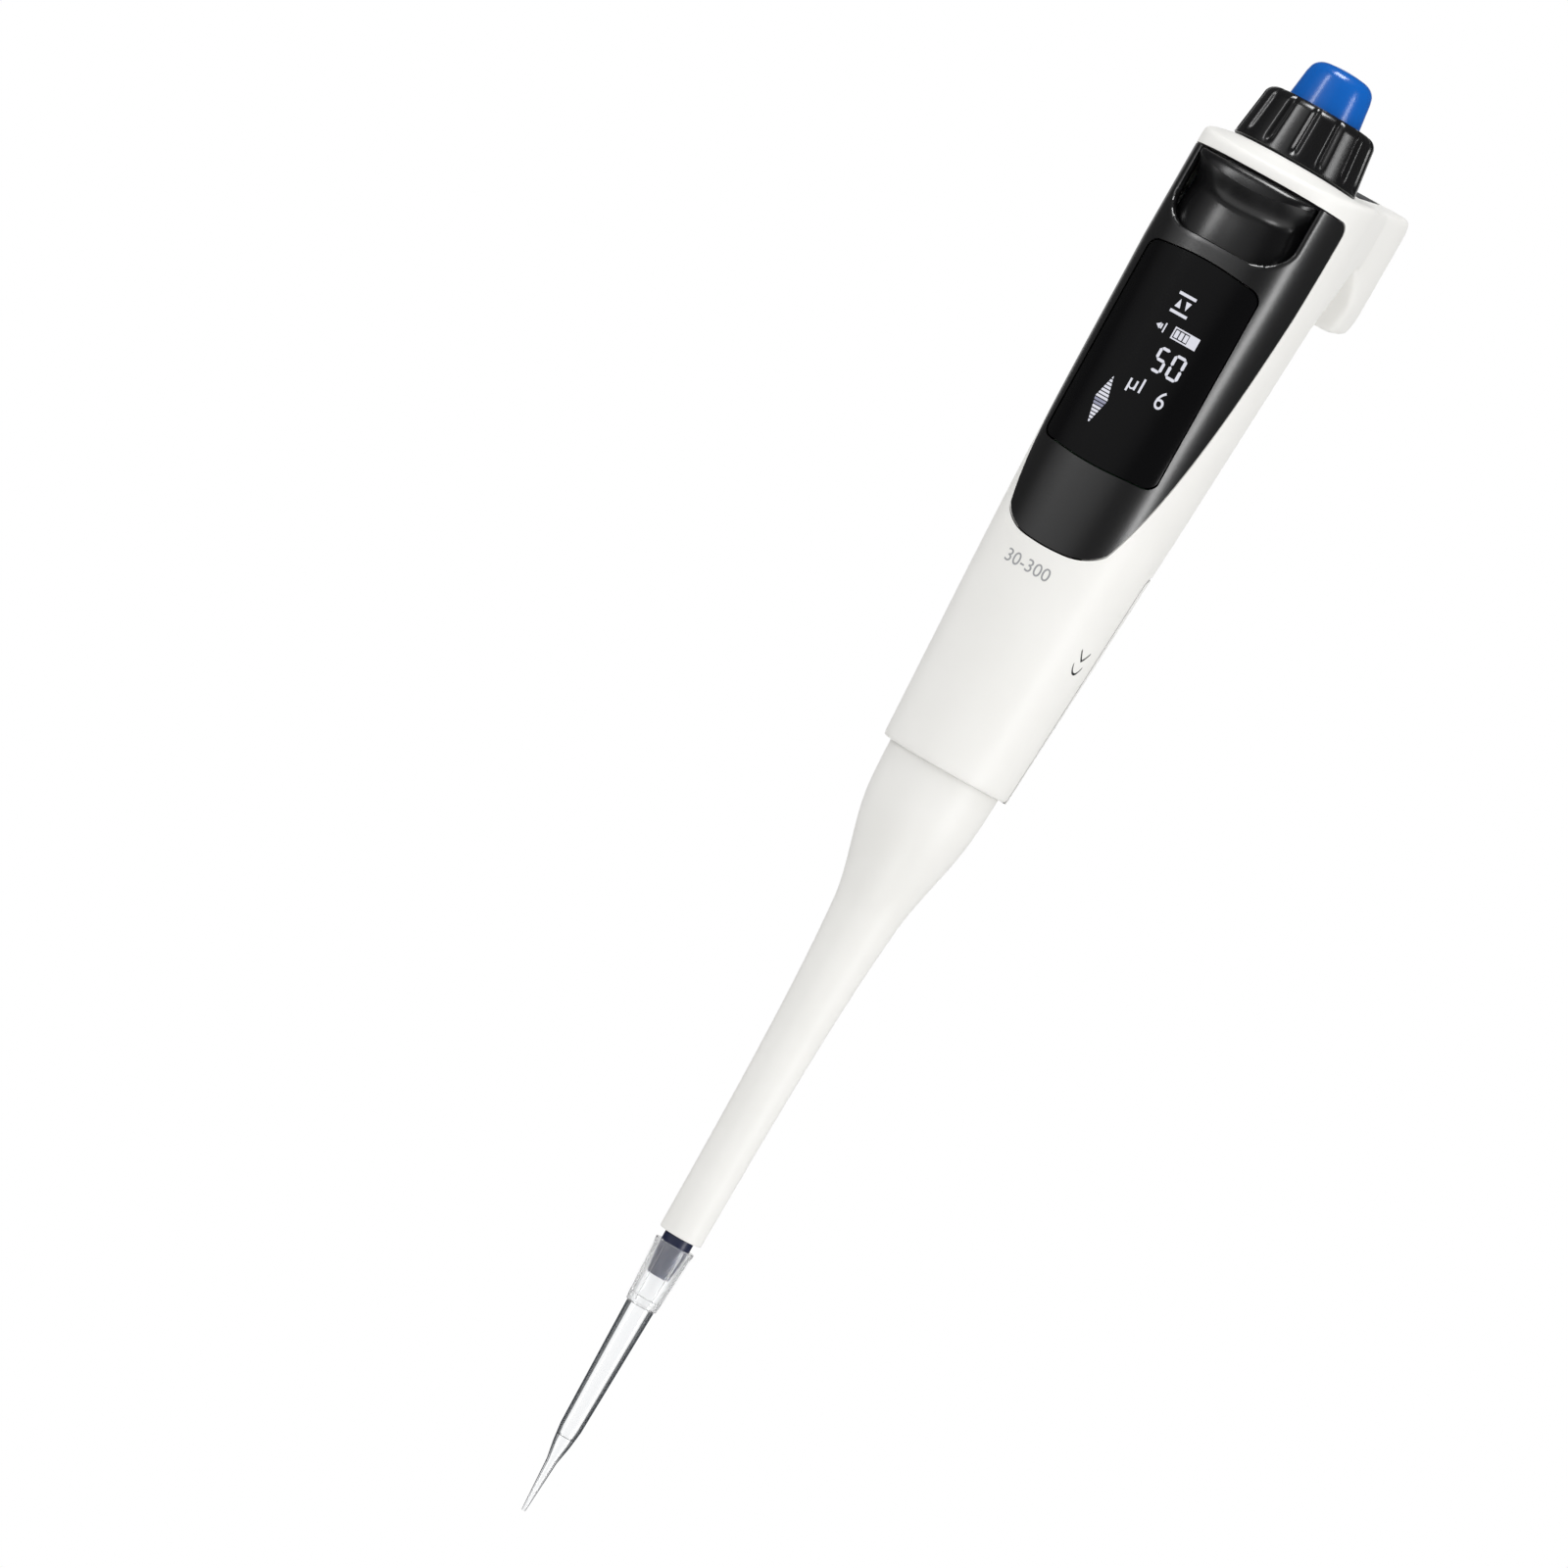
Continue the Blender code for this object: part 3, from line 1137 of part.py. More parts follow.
def make_boards_and_display(board, dark):
    main = block(
        "main_board", (-BOARD_HALF_WIDTH, BOARD_FRONT_Y, MOTOR_PLATE_TOP_Z + GAP),
        (BOARD_HALF_WIDTH, BOARD_FRONT_Y + BOARD_THICKNESS, BOARD_TOP_Z), board,
    )
    back = BOARD_FRONT_Y - GAP
    display = block(
        "display_module", (-DISPLAY_HALF_WIDTH, back - DISPLAY_THICKNESS, DISPLAY_BOTTOM_Z),
        (DISPLAY_HALF_WIDTH, back, DISPLAY_TOP_Z), dark,
    )
    return main, display


# Battery

def make_battery(cell, metal):
    half = BATTERY_HALF_WIDTH
    front = BATTERY_FRONT_Y
    back = BATTERY_FRONT_Y + BATTERY_THICKNESS
    corner = 1.2 * MM
    corners = [(-half, front, corner), (half, front, corner), (half, back, corner), (-half, back, corner)]
    outline = filleted(corners, 3)
    low = BATTERY_TOP_Z - BATTERY_LENGTH
    prism("battery_pack", outline, "Z", low, BATTERY_TOP_Z, cell)
    contact_low = BATTERY_TOP_Z + GAP
    contact_high = MOTOR_PLATE_TOP_Z - CHASSIS_PLATE - GAP
    middle_y = (front + back) / 2
    for name, side in (("battery_contact_minus", -1), ("battery_contact_plus", 1)):
        x = side * CONTACT_SPACING / 2
        block(
            name,
            (x - CONTACT_WIDTH / 2, middle_y - CONTACT_THICKNESS / 2, contact_low),
            (x + CONTACT_WIDTH / 2, middle_y + CONTACT_THICKNESS / 2, contact_high), metal,
        )


# Motor

def motor_low_z():
    return MOTOR_PLATE_TOP_Z + GAP


def make_motor(can, copper, brass, steel, magnet):
    low = motor_low_z()
    high = low + MOTOR_HEIGHT
    inner = MOTOR_RADIUS - MOTOR_CAN_WALL
    hole = BEARING_RADIUS + GAP
    end = MOTOR_CAN_WALL
    floor = MOTOR_SCREW_GRIP + 2 * GAP
    case = [
        (hole, high), (MOTOR_RADIUS - 0.6 * MM, high), (MOTOR_RADIUS, high - 0.6 * MM), (MOTOR_RADIUS, low),
        (hole, low), (hole, low + floor), (inner, low + floor), (inner, high - end), (hole, high - end),
    ]
    can_body = turned("motor_case", case, can)
    hole_top = low + MOTOR_SCREW_GRIP + GAP
    for side in (-1, 1):
        drill(can_body, (side * MOTOR_SCREW_X, 0.0), SCREW_SHANK_RADIUS + GAP, hole_top, low - OVERRUN)
    stator_outer = inner - GAP
    stator_inner = ROTOR_RADIUS + 0.5 * MM
    s_low = low + floor + GAP
    s_high = high - BEARING_HEIGHT - GAP
    stator = [
        (stator_outer, s_high), (stator_outer, s_low), (stator_inner, s_low), (stator_inner, s_high),
    ]
    turned("motor_stator", stator, copper)
    for name, z in (("motor_bearing_lower", low), ("motor_bearing_upper", high - BEARING_HEIGHT)):
        ring = [
            (ROTOR_SHAFT_RADIUS + GAP, z), (BEARING_RADIUS, z),
            (BEARING_RADIUS, z + BEARING_HEIGHT), (ROTOR_SHAFT_RADIUS + GAP, z + BEARING_HEIGHT),
        ]
        turned(name, ring, brass, SMALL_SIDES)
    r_low = s_low + 0.4 * MM
    r_high = s_high - 0.4 * MM
    shaft_top = high + 1.2 * MM
    shaft_foot = SCREW_TOP_Z + GAP
    rotor = [
        (0.0, shaft_top), (ROTOR_SHAFT_RADIUS, shaft_top), (ROTOR_SHAFT_RADIUS, r_high),
        (ROTOR_RADIUS, r_high), (ROTOR_RADIUS, r_low), (ROTOR_SHAFT_RADIUS, r_low),
        (ROTOR_SHAFT_RADIUS, shaft_foot), (0.0, shaft_foot),
    ]
    turned("motor_rotor", rotor, magnet, bored=False)
    screw_low = SCREW_TOP_Z - SCREW_LENGTH
    screw = [
        (0.0, SCREW_TOP_Z), (SCREW_RADIUS, SCREW_TOP_Z), (SCREW_RADIUS, screw_low + 0.4 * MM),
        (SCREW_RADIUS - 0.4 * MM, screw_low), (0.0, screw_low),
    ]
    turned("lead_screw", screw, steel, SMALL_SIDES, bored=False)


# Piston train

def make_piston_train(plastic, steel):
    top = CARRIAGE_TOP_Z
    low = top - CARRIAGE_LENGTH
    bore = SCREW_RADIUS + GAP
    cup = [
        (0.0, low + CARRIAGE_FLOOR), (bore, low + CARRIAGE_FLOOR), (bore, top),
        (CARRIAGE_RADIUS, top), (CARRIAGE_RADIUS, low), (0.0, low),
    ]
    carriage = turned("carriage", cup, plastic, SMALL_SIDES, bored=False)
    arm_low = low + 1.0 * MM
    arm = block(
        "carriage_arm",
        (CARRIAGE_RADIUS - 0.8 * MM, -CARRIAGE_ARM_DEPTH / 2, arm_low),
        (COLUMN_X + COLUMN_WIDTH / 2, CARRIAGE_ARM_DEPTH / 2, arm_low + CARRIAGE_ARM_HEIGHT), plastic,
    )
    combine(carriage, arm, "UNION")
    rod_top = low - GAP
    rod = [
        (0.0, rod_top), (PISTON_RADIUS, rod_top), (PISTON_RADIUS, PISTON_REST_END_Z + 0.4 * MM),
        (PISTON_RADIUS - 0.4 * MM, PISTON_REST_END_Z), (0.0, PISTON_REST_END_Z),
    ]
    turned("piston_rod", rod, steel, bored=False)
    sensor_low = arm_low + CARRIAGE_ARM_HEIGHT + GAP
    sensor_back = COLUMN_Y - GAP
    block(
        "home_sensor",
        (COLUMN_X - 2.2 * MM, sensor_back - SENSOR_DEPTH, sensor_low),
        (COLUMN_X + COLUMN_WIDTH / 2, sensor_back, sensor_low + SENSOR_HEIGHT), plastic,
    )


def make_barrel(plastic, brass, rubber):
    bore = PISTON_RADIUS + GAP
    flange_top = FOOT_PLATE_TOP_Z - CHASSIS_PLATE - GAP
    flange_low = flange_top - BARREL_FLANGE_HEIGHT
    seat = SEAL_RADIUS + GAP
    seat_z = BARREL_NECK_TOP_Z - SEAL_DEPTH
    profile = [
        (seat, BARREL_NECK_TOP_Z), (BARREL_NECK_RADIUS, BARREL_NECK_TOP_Z), (BARREL_NECK_RADIUS, flange_top),
        (BARREL_FLANGE_RADIUS, flange_top), (BARREL_FLANGE_RADIUS, flange_low),
        (BARREL_BODY_RADIUS, flange_low - 1.5 * MM), (BARREL_BODY_RADIUS, BARREL_SLIM_Z),
        (BARREL_END_RADIUS, BARREL_SLIM_Z - BARREL_TAPER), (BARREL_END_RADIUS, BARREL_END_Z),
        (bore, BARREL_END_Z), (bore, seat_z), (seat, seat_z),
    ]
    turned("piston_barrel", profile, plastic)
    nut_low = FOOT_PLATE_TOP_Z + GAP
    nut_high = min(nut_low + NUT_HEIGHT, BARREL_NECK_TOP_Z)
    nut_bore = BARREL_NECK_RADIUS + GAP
    hexagon = [
        Vector((NUT_RADIUS * math.cos(math.pi * k / 3), NUT_RADIUS * math.sin(math.pi * k / 3)))
        for k in range(6)
    ]
    nut = prism("barrel_nut", hexagon, "Z", nut_low, nut_high, brass)
    drill(nut, (0.0, 0.0), nut_bore, nut_high + OVERRUN, nut_low - OVERRUN)
    seal_low = seat_z + GAP
    seal_high = seal_low + SEAL_HEIGHT
    ease = 0.3 * MM
    seal = [
        (SEAL_RADIUS, seal_high - ease), (SEAL_RADIUS, seal_low + ease), (SEAL_RADIUS - ease, seal_low),
        (bore, seal_low), (bore, seal_high), (SEAL_RADIUS - ease, seal_high),
    ]
    turned("piston_seal", seal, rubber)
    cap_low = seal_high + GAP
    cap_high = BARREL_NECK_TOP_Z + 0.8 * MM
    rim = BARREL_NECK_RADIUS - 0.4 * MM
    seated = BARREL_NECK_TOP_Z + GAP
    hole = bore + 0.4 * MM
    cap = [
        (rim, cap_high), (rim, seated), (SEAL_RADIUS, seated), (SEAL_RADIUS, cap_low),
        (hole, cap_low), (hole, cap_high),
    ]
    turned("seal_retainer", cap, brass)


def rim_z():
    return SLEEVE_END_Z - TIP_GAP


def make_nozzle_cone(surface):
    flange_top = BARREL_END_Z - GAP
    flange_low = flange_top - CONE_FLANGE_HEIGHT
    end = rim_z() - CONE_LENGTH_IN_TIP
    profile = [
        (CONE_BORE, flange_top), (CONE_FLANGE_RADIUS, flange_top), (CONE_FLANGE_RADIUS, flange_low),
        (CONE_TUBE_RADIUS, flange_low - 1.2 * MM), (CONE_TUBE_RADIUS, SLEEVE_END_Z + 2 * MM),
        (CONE_COLLAR_RADIUS, SLEEVE_END_Z + 1 * MM), (CONE_COLLAR_RADIUS, rim_z() + GAP),
        (CONE_END_RADIUS + 0.5 * MM, rim_z() - 0.55 * CONE_LENGTH_IN_TIP),
        (CONE_END_RADIUS + 0.2 * MM, end + 0.3 * MM), (CONE_END_RADIUS, end), (CONE_BORE, end),
    ]
    return turned("nozzle_cone", profile, surface)


# Tip

def tip_outer():
    """(distance below the rim, radius) down the outside of the tip."""
    return [
        (0.0, TIP_RIM_RADIUS),
        (TIP_RIM_HEIGHT, TIP_RIM_RADIUS),
        (TIP_RIM_HEIGHT + 0.3 * MM, TIP_COLLAR_TOP_RADIUS),
        (TIP_COLLAR_LENGTH, TIP_COLLAR_END_RADIUS),
        (TIP_COLLAR_LENGTH + 0.2 * MM, TIP_COLLAR_END_RADIUS - TIP_STEP),
        (TIP_BODY_LENGTH, TIP_BODY_END_RADIUS),
        ((TIP_BODY_LENGTH + TIP_SPOUT_BREAK) / 2, (TIP_BODY_END_RADIUS + TIP_SPOUT_RADIUS) / 2 + 0.12 * MM),
        (TIP_SPOUT_BREAK, TIP_SPOUT_RADIUS),
        (TIP_LENGTH, TIP_END_RADIUS),
    ]


def make_tip(surface):
    top = rim_z()
    outer = [(radius, top - down) for down, radius in tip_outer()]
    inner = []
    for down, radius in tip_outer():
        wall = TIP_WALL + (TIP_END_WALL - TIP_WALL) * (down / TIP_LENGTH) ** 2
        inner.append((min(radius, TIP_COLLAR_TOP_RADIUS) - wall, top - down))
    inner[-1] = (TIP_END_RADIUS - TIP_END_WALL, top - TIP_LENGTH)
    skipped = [point for index, point in enumerate(inner) if index != 1]
    return turned("pipette_tip", outer + list(reversed(skipped)), surface)


# Fasteners

def screw(name, spot, length, surface):
    """A pan-head screw, head up. The spot is under its head."""
    profile = [
        (0.0, SCREW_HEAD_HEIGHT), (SCREW_HEAD_RADIUS, SCREW_HEAD_HEIGHT), (SCREW_HEAD_RADIUS, 0.0),
        (SCREW_SHANK_RADIUS, 0.0), (SCREW_SHANK_RADIUS, -length), (0.0, -length),
    ]
    obj = turned(name, profile, surface, 12, bored=False)
    obj.location = spot
    return obj


def make_screws(surface):
    for name, (x, y) in zip(("key_board_screw_left", "key_board_screw_right"), key_board_screw_spots()):
        length = KEY_BOARD_THICKNESS + 2 * GAP + SHELF_THICKNESS
        screw(name, (x, y, KEY_BOARD_Z + GAP), length, surface)
    seat_z = MOTOR_PLATE_TOP_Z - CHASSIS_PLATE - GAP
    for name, side in (("motor_screw_left", -1), ("motor_screw_right", 1)):
        length = CHASSIS_PLATE + 2 * GAP + MOTOR_SCREW_GRIP
        fixed = screw(name, (side * MOTOR_SCREW_X, 0.0, seat_z), length, surface)
        fixed.rotation_euler.x = math.pi


def make_ejector_spring(surface):
    high = ARM_Z - ARM_THICKNESS / 2 - GAP
    return spring(
        "ejector_spring", (EJECT_SPRING_X, EJECT_SPRING_Y), high - EJECT_SPRING_LENGTH, high,
        EJECT_SPRING_RADIUS, EJECT_SPRING_WIRE, 6, surface,
    )


def build():
    clear_scene()
    m = make_materials()
    make_handle_shell(m["white"])
    make_front_panel(m["gloss_black"])
    make_window(m["window"])
    inlay_slab("hook_inlay", -INLAY_THICKNESS, -INLAY_SUNK, 0.0, m["grey"])
    make_battery_cover(m["white"])
    make_ejector_key(m["gloss_black"])
    make_ejector_rod(m["steel"])
    make_sleeve(m["white"])
    make_knob(m["knob"])
    make_knob_shaft(m["steel"])
    make_push_button(m["blue"])
    make_button_stem(m["white"])
    make_button_spring(m["steel"])
    make_encoder(m["grey"])
    make_switch(m["grey"])
    make_key_board(m["board"])
    make_buzzer(m["rubber"])
    make_chassis(m["grey"])
    make_boards_and_display(m["board"], m["window"])
    make_battery(m["cell"], m["brass"])
    make_motor(m["steel"], m["copper"], m["brass"], m["steel"], m["grey"])
    make_piston_train(m["grey"], m["steel"])
    make_barrel(m["grey"], m["brass"], m["rubber"])
    make_nozzle_cone(m["navy"])
    make_tip(m["clear"])
    make_ejector_spring(m["steel"])
    make_screws(m["steel"])


build()
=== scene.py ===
# %% [markdown]
# # An electronic pipette, dressed for its portrait
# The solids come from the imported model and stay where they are. This lesson gives each outer piece the
# fine surface that the real moulding has, and each piece inside a finish of its own.
# Every new piece is worked out from the same sizes as its solid, so it lies exactly on it.

import math

import bmesh
import bpy
from mathutils import Matrix, Vector


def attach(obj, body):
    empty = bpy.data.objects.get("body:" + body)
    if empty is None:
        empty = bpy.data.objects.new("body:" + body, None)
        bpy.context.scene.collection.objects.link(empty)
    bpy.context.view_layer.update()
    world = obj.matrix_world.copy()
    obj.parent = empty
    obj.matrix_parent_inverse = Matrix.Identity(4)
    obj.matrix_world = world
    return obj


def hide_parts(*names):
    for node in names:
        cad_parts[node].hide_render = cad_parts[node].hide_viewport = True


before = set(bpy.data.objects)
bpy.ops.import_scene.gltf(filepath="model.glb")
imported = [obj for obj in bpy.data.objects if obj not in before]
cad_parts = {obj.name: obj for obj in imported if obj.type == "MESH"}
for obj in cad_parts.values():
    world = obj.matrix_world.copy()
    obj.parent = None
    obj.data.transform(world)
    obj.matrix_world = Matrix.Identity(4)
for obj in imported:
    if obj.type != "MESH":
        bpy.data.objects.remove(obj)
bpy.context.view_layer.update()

# %% [markdown]
# ## Sizes
# All sizes are in metres, written as millimetres times MM. They repeat the few sizes that drive the model's
# outer form, because a piece that stands for a solid must have its outline. GAP is the clearance between
# neighbours, and OVERRUN is how far a cutting form sticks out of what it cuts.

# %% Sizes of the handle
MM = 0.001
GAP = 0.3 * MM
OVERRUN = 3 * MM

HEAD_HALF_WIDTH = 17.7 * MM
HEAD_HALF_DEPTH = 18.2 * MM
HEAD_SQUARENESS = 2.6
HEAD_LOW_Z = -15 * MM
GRIP_Z = -66 * MM
GRIP_RADIUS = 16.3 * MM
GRIP_SQUARENESS = 2.3
GRIP_FORWARD = 1.4 * MM
HANDLE_END_Z = -123.9 * MM
HANDLE_END_RADIUS = 13.7 * MM
HANDLE_END_FORWARD = 1.7 * MM
SHELL_WALL = 1.7 * MM
HEAD_CEILING_Z = 6.0 * MM

CREST_FRONT_Z = 8.2 * MM
CREST_SIDE_Y = 6 * MM
CREST_SIDE_Z = 11.6 * MM
CREST_HOOK_Y = 40 * MM
CREST_HOOK_Z = 15.0 * MM
CREST_ROUNDING = 1.0 * MM
PLATFORM_RADIUS = 14.0 * MM
PLATFORM_Z = 10.7 * MM
SHAFT_HOLE_RADIUS = 3.3 * MM

SLEEVE_TOP_Z = -115.0 * MM
SLEEVE_TOP_RADIUS = 12.05 * MM

print("handle:", 2000 * HEAD_HALF_WIDTH, "mm wide at the head,", 2000 * HANDLE_END_RADIUS, "mm at its foot")

# %% [markdown]
# ## Helpers for outlines
# A moulded piece is a few outlines drawn out or pushed along an axis. `filleted` rounds the corners of an
# outline, `superellipse` is the rounded square of the head, and `through` runs smoothly through a few
# stations, as a spline does in a drawing.

# %% Outlines
def filleted(corners, steps=10):
    """A closed outline from (a, b, radius) corners, each rounded by its own radius."""
    points = []
    for index, (a, b, radius) in enumerate(corners):
        here = Vector((a, b))
        if radius <= 0:
            points.append(here)
            continue
        before = Vector(corners[index - 1][:2]) - here
        after = Vector(corners[(index + 1) % len(corners)][:2]) - here
        half_angle = before.angle(after) / 2
        reach = radius / math.tan(half_angle)
        inward = (before.normalized() + after.normalized()).normalized()
        centre = here + inward * radius / math.sin(half_angle)
        start = here + before.normalized() * reach - centre
        end = here + after.normalized() * reach - centre
        sweep = start.angle_signed(end)
        for step in range(steps + 1):
            turn = sweep * step / steps
            points.append(centre + Vector((
                start.x * math.cos(turn) + start.y * math.sin(turn),
                start.y * math.cos(turn) - start.x * math.sin(turn),
            )))
    return points


def rectangle(left, right, low, high):
    return [(left, low), (right, low), (right, high), (left, high)]


def mirrored(half):
    """An outline that is the same on both sides, from the (x, z, radius) corners of its right half."""
    return half + [(-x, z, radius) for x, z, radius in reversed(half)]


def superellipse(half_x, half_y, centre_y, squareness, count):
    """A rounded square, between a circle at squareness 2 and a true square."""
    points = []
    for index in range(count):
        angle = 2 * math.pi * (index + 0.5) / count
        across = math.cos(angle)
        along = math.sin(angle)
        points.append(Vector((
            half_x * math.copysign(abs(across) ** (2 / squareness), across),
            centre_y + half_y * math.copysign(abs(along) ** (2 / squareness), along),
        )))
    return points


def smooth_step(share):
    """Eases from 0 to 1 without a corner at either end."""
    share = min(max(share, 0.0), 1.0)
    return share * share * (3 - 2 * share)


def through(stations, z):
    """A smooth value at height z through (z, value) stations that run downwards."""
    if z >= stations[0][0]:
        return stations[0][1]
    if z <= stations[-1][0]:
        return stations[-1][1]
    slopes = []
    for index in range(len(stations)):
        above = stations[max(index - 1, 0)]
        below = stations[min(index + 1, len(stations) - 1)]
        slopes.append((above[1] - below[1]) / (above[0] - below[0]))
    for index in range(len(stations) - 1):
        (z0, v0), (z1, v1) = stations[index], stations[index + 1]
        if z >= z1:
            width = z1 - z0
            t = (z - z0) / width
            return (
                v0 * (2 * t**3 - 3 * t**2 + 1) + v1 * (3 * t**2 - 2 * t**3)
                + slopes[index] * width * (t**3 - 2 * t**2 + t)
                + slopes[index + 1] * width * (t**3 - t**2)
            )


def heights(top, bottom, spacing):
    """Evenly spaced heights from top down to bottom, at most spacing apart."""
    count = max(2, math.ceil((top - bottom) / spacing))
    return [top + (bottom - top) * index / count for index in range(count + 1)]


# %% [markdown]
# ## Helpers for solids
# `lofted` grows a skin ring by ring with the extrude operator, `prism` pushes an outline along an axis, and
# `turned` spins a profile as a lathe does. `combine` and `settle` cut one form with another and keep the
# result as plain mesh, so that no tool stays in the scene.

# %% Solids
SHARP_FROM = 32
ALL_SMOOTH = 180
SAME_POINT = 0.001 * MM


def shade(mesh, smooth_angle):
    """Smooth shading, broken where two faces meet at more than the angle in degrees."""
    mesh.shade_smooth()
    mesh.set_sharp_from_angle(angle=math.radians(smooth_angle))


def add_object(name, bm, smooth_angle=SHARP_FROM):
    bmesh.ops.recalc_face_normals(bm, faces=bm.faces)
    mesh = bpy.data.meshes.new(name)
    bm.to_mesh(mesh)
    bm.free()
    shade(mesh, smooth_angle)
    obj = bpy.data.objects.new(name, mesh)
    bpy.context.scene.collection.objects.link(obj)
    return obj


def pushed(bm, corners, way):
    """A face through the corners, pushed along a way into a solid."""
    base = bm.faces.new([bm.verts.new(corner) for corner in corners])
    grown = bmesh.ops.extrude_face_region(bm, geom=[base])
    moved = [item for item in grown["geom"] if isinstance(item, bmesh.types.BMVert)]
    bmesh.ops.translate(bm, verts=moved, vec=way)


def prism(name, outline, axis, start, end):
    """An outline pushed along one axis. The outline's own axes are the other two, in the order X, Y, Z."""
    spots = {
        "X": lambda a, b, c: (c, a, b),
        "Y": lambda a, b, c: (a, c, b),
        "Z": lambda a, b, c: (a, b, c),
    }[axis]
    bm = bmesh.new()
    pushed(bm, [spots(p[0], p[1], start) for p in outline], Vector(spots(0, 0, end - start)))
    return add_object(name, bm)


def turned(name, profile, steps=128, bored=True):
    """A lathe-turned piece from (radius, z) points: a closed loop if bored, or from axis to axis."""
    bm = bmesh.new()
    verts = [bm.verts.new((radius, 0.0, z)) for radius, z in profile]
    edges = [bm.edges.new(pair) for pair in zip(verts, verts[1:])]
    if bored:
        edges.append(bm.edges.new((verts[-1], verts[0])))
    bmesh.ops.spin(
        bm, geom=verts + edges, cent=(0, 0, 0), axis=(0, 0, 1),
        angle=2 * math.pi, steps=steps, use_merge=True,
    )
    bmesh.ops.remove_doubles(bm, verts=bm.verts, dist=SAME_POINT)
    return add_object(name, bm)


def lofted(name, rings, closed_tube=False):
    """A skin drawn out ring by ring, capped at both ends, or led back to its first ring as a tube wall."""
    if closed_tube:
        rings = rings + [rings[0]]
    bm = bmesh.new()
    verts = [bm.verts.new(point) for point in rings[0]]
    edges = [bm.edges.new((verts[i - 1], verts[i])) for i in range(len(verts))]
    if not closed_tube:
        bm.faces.new(verts)
    for points in rings[1:]:
        place = {vert: index for index, vert in enumerate(verts)}
        grown = bmesh.ops.extrude_edge_only(bm, edges=edges)["geom"]
        edges = [item for item in grown if isinstance(item, bmesh.types.BMEdge)]
        verts = [None] * len(points)
        for vert in grown:
            if isinstance(vert, bmesh.types.BMVert):
                near = [edge.other_vert(vert) for edge in vert.link_edges]
                old = next(other for other in near if other in place)
                verts[place[old]] = vert
                vert.co = points[place[old]]
    if closed_tube:
        bmesh.ops.remove_doubles(bm, verts=bm.verts, dist=SAME_POINT)
    else:
        bm.faces.new(verts)
    return add_object(name, bm)


def combine(target, tool, operation):
    """Cuts, joins or trims the target by the tool."""
    modifier = target.modifiers.new(operation.lower(), "BOOLEAN")
    modifier.object = tool
    modifier.operation = operation
    modifier.solver = "EXACT"
    settle(target)
    bpy.data.objects.remove(tool, do_unlink=True)


def settle(obj, smooth_angle=SHARP_FROM):
    """Makes what the modifiers show the object's own mesh."""
    shown = obj.evaluated_get(bpy.context.evaluated_depsgraph_get())
    mesh = bpy.data.meshes.new_from_object(shown)
    obj.modifiers.clear()
    obj.data = mesh
    shade(mesh, smooth_angle)


def soften_edges(obj, width, angle, segments):
    """Breaks the edges that are sharper than the angle, as a mould does, so that they catch the light."""
    modifier = obj.modifiers.new("soft_edges", "BEVEL")
    modifier.width = width
    modifier.segments = segments
    modifier.limit_method = "ANGLE"
    modifier.angle_limit = math.radians(angle)
    modifier.use_clamp_overlap = True
    settle(obj)


# %% [markdown]
# ## Finishes
# Most of this object is injection-moulded plastic. What the eye reads as plastic is a colour, a gloss, and a
# very fine grain from the steel of the mould. So one function makes each of them: two close tones drift over
# the piece, and one noise of a real grain size gives roughness and relief.

# %% Tools for finishes
def linear(hex_code):
    """An sRGB hex colour as the linear colour that a shader takes."""
    parts = [int(hex_code[i:i + 2], 16) / 255 for i in (0, 2, 4)]
    return tuple(p / 12.92 if p <= 0.04045 else ((p + 0.055) / 1.055) ** 2.4 for p in parts) + (1.0,)


def add_node(tree, kind, values=None, links=None, **settings):
    """Adds one node with its settings, its sockets' own values and the sockets that it reads."""
    made = tree.nodes.new(kind)
    for name, value in settings.items():
        setattr(made, name, value)
    for socket, value in (values or {}).items():
        made.inputs[socket].default_value = value
    for socket, source in (links or {}).items():
        tree.links.new(source, made.inputs[socket])
    return made


PLASTIC_IOR = 1.5
DRIFT_PER_GRAIN = 60


def new_finish(name):
    """A new material, with its node tree and its shader."""
    made = bpy.data.materials.new(name)
    made.use_nodes = True
    tree = made.node_tree
    return made, tree, tree.nodes["Principled BSDF"]


def moulded(name, tones, roughness, grain, relief, specular=0.5, metallic=0.0):
    """A moulded or cast finish: tones and roughness are (low, high), grain and relief are in millimetres."""
    made, tree, shader = new_finish(name)
    spot = add_node(tree, "ShaderNodeTexCoord").outputs["Object"]
    shader.inputs["Metallic"].default_value = metallic
    if not metallic:
        shader.inputs["IOR"].default_value = PLASTIC_IOR
        shader.inputs["Specular IOR Level"].default_value = specular
    grain_scale = 1 / (grain * MM)
    drift = add_node(
        tree, "ShaderNodeTexNoise", {"Scale": grain_scale / DRIFT_PER_GRAIN, "Detail": 2.0}, {"Vector": spot},
    )
    fine = add_node(tree, "ShaderNodeTexNoise", {"Scale": grain_scale, "Detail": 3.0}, {"Vector": spot})
    colour = add_node(
        tree, "ShaderNodeMix", {6: linear(tones[0]), 7: linear(tones[1])},
        {0: drift.outputs["Fac"]}, data_type="RGBA",
    )
    gloss = add_node(
        tree, "ShaderNodeMapRange", {"To Min": roughness[0], "To Max": roughness[1]},
        {"Value": fine.outputs["Fac"]},
    )
    bump = add_node(
        tree, "ShaderNodeBump", {"Strength": 1.0, "Distance": relief * MM}, {"Height": fine.outputs["Fac"]},
    )
    tree.links.new(colour.outputs[2], shader.inputs["Base Color"])
    tree.links.new(gloss.outputs["Result"], shader.inputs["Roughness"])
    tree.links.new(bump.outputs["Normal"], shader.inputs["Normal"])
    made.diffuse_color = linear(tones[1])
    return made


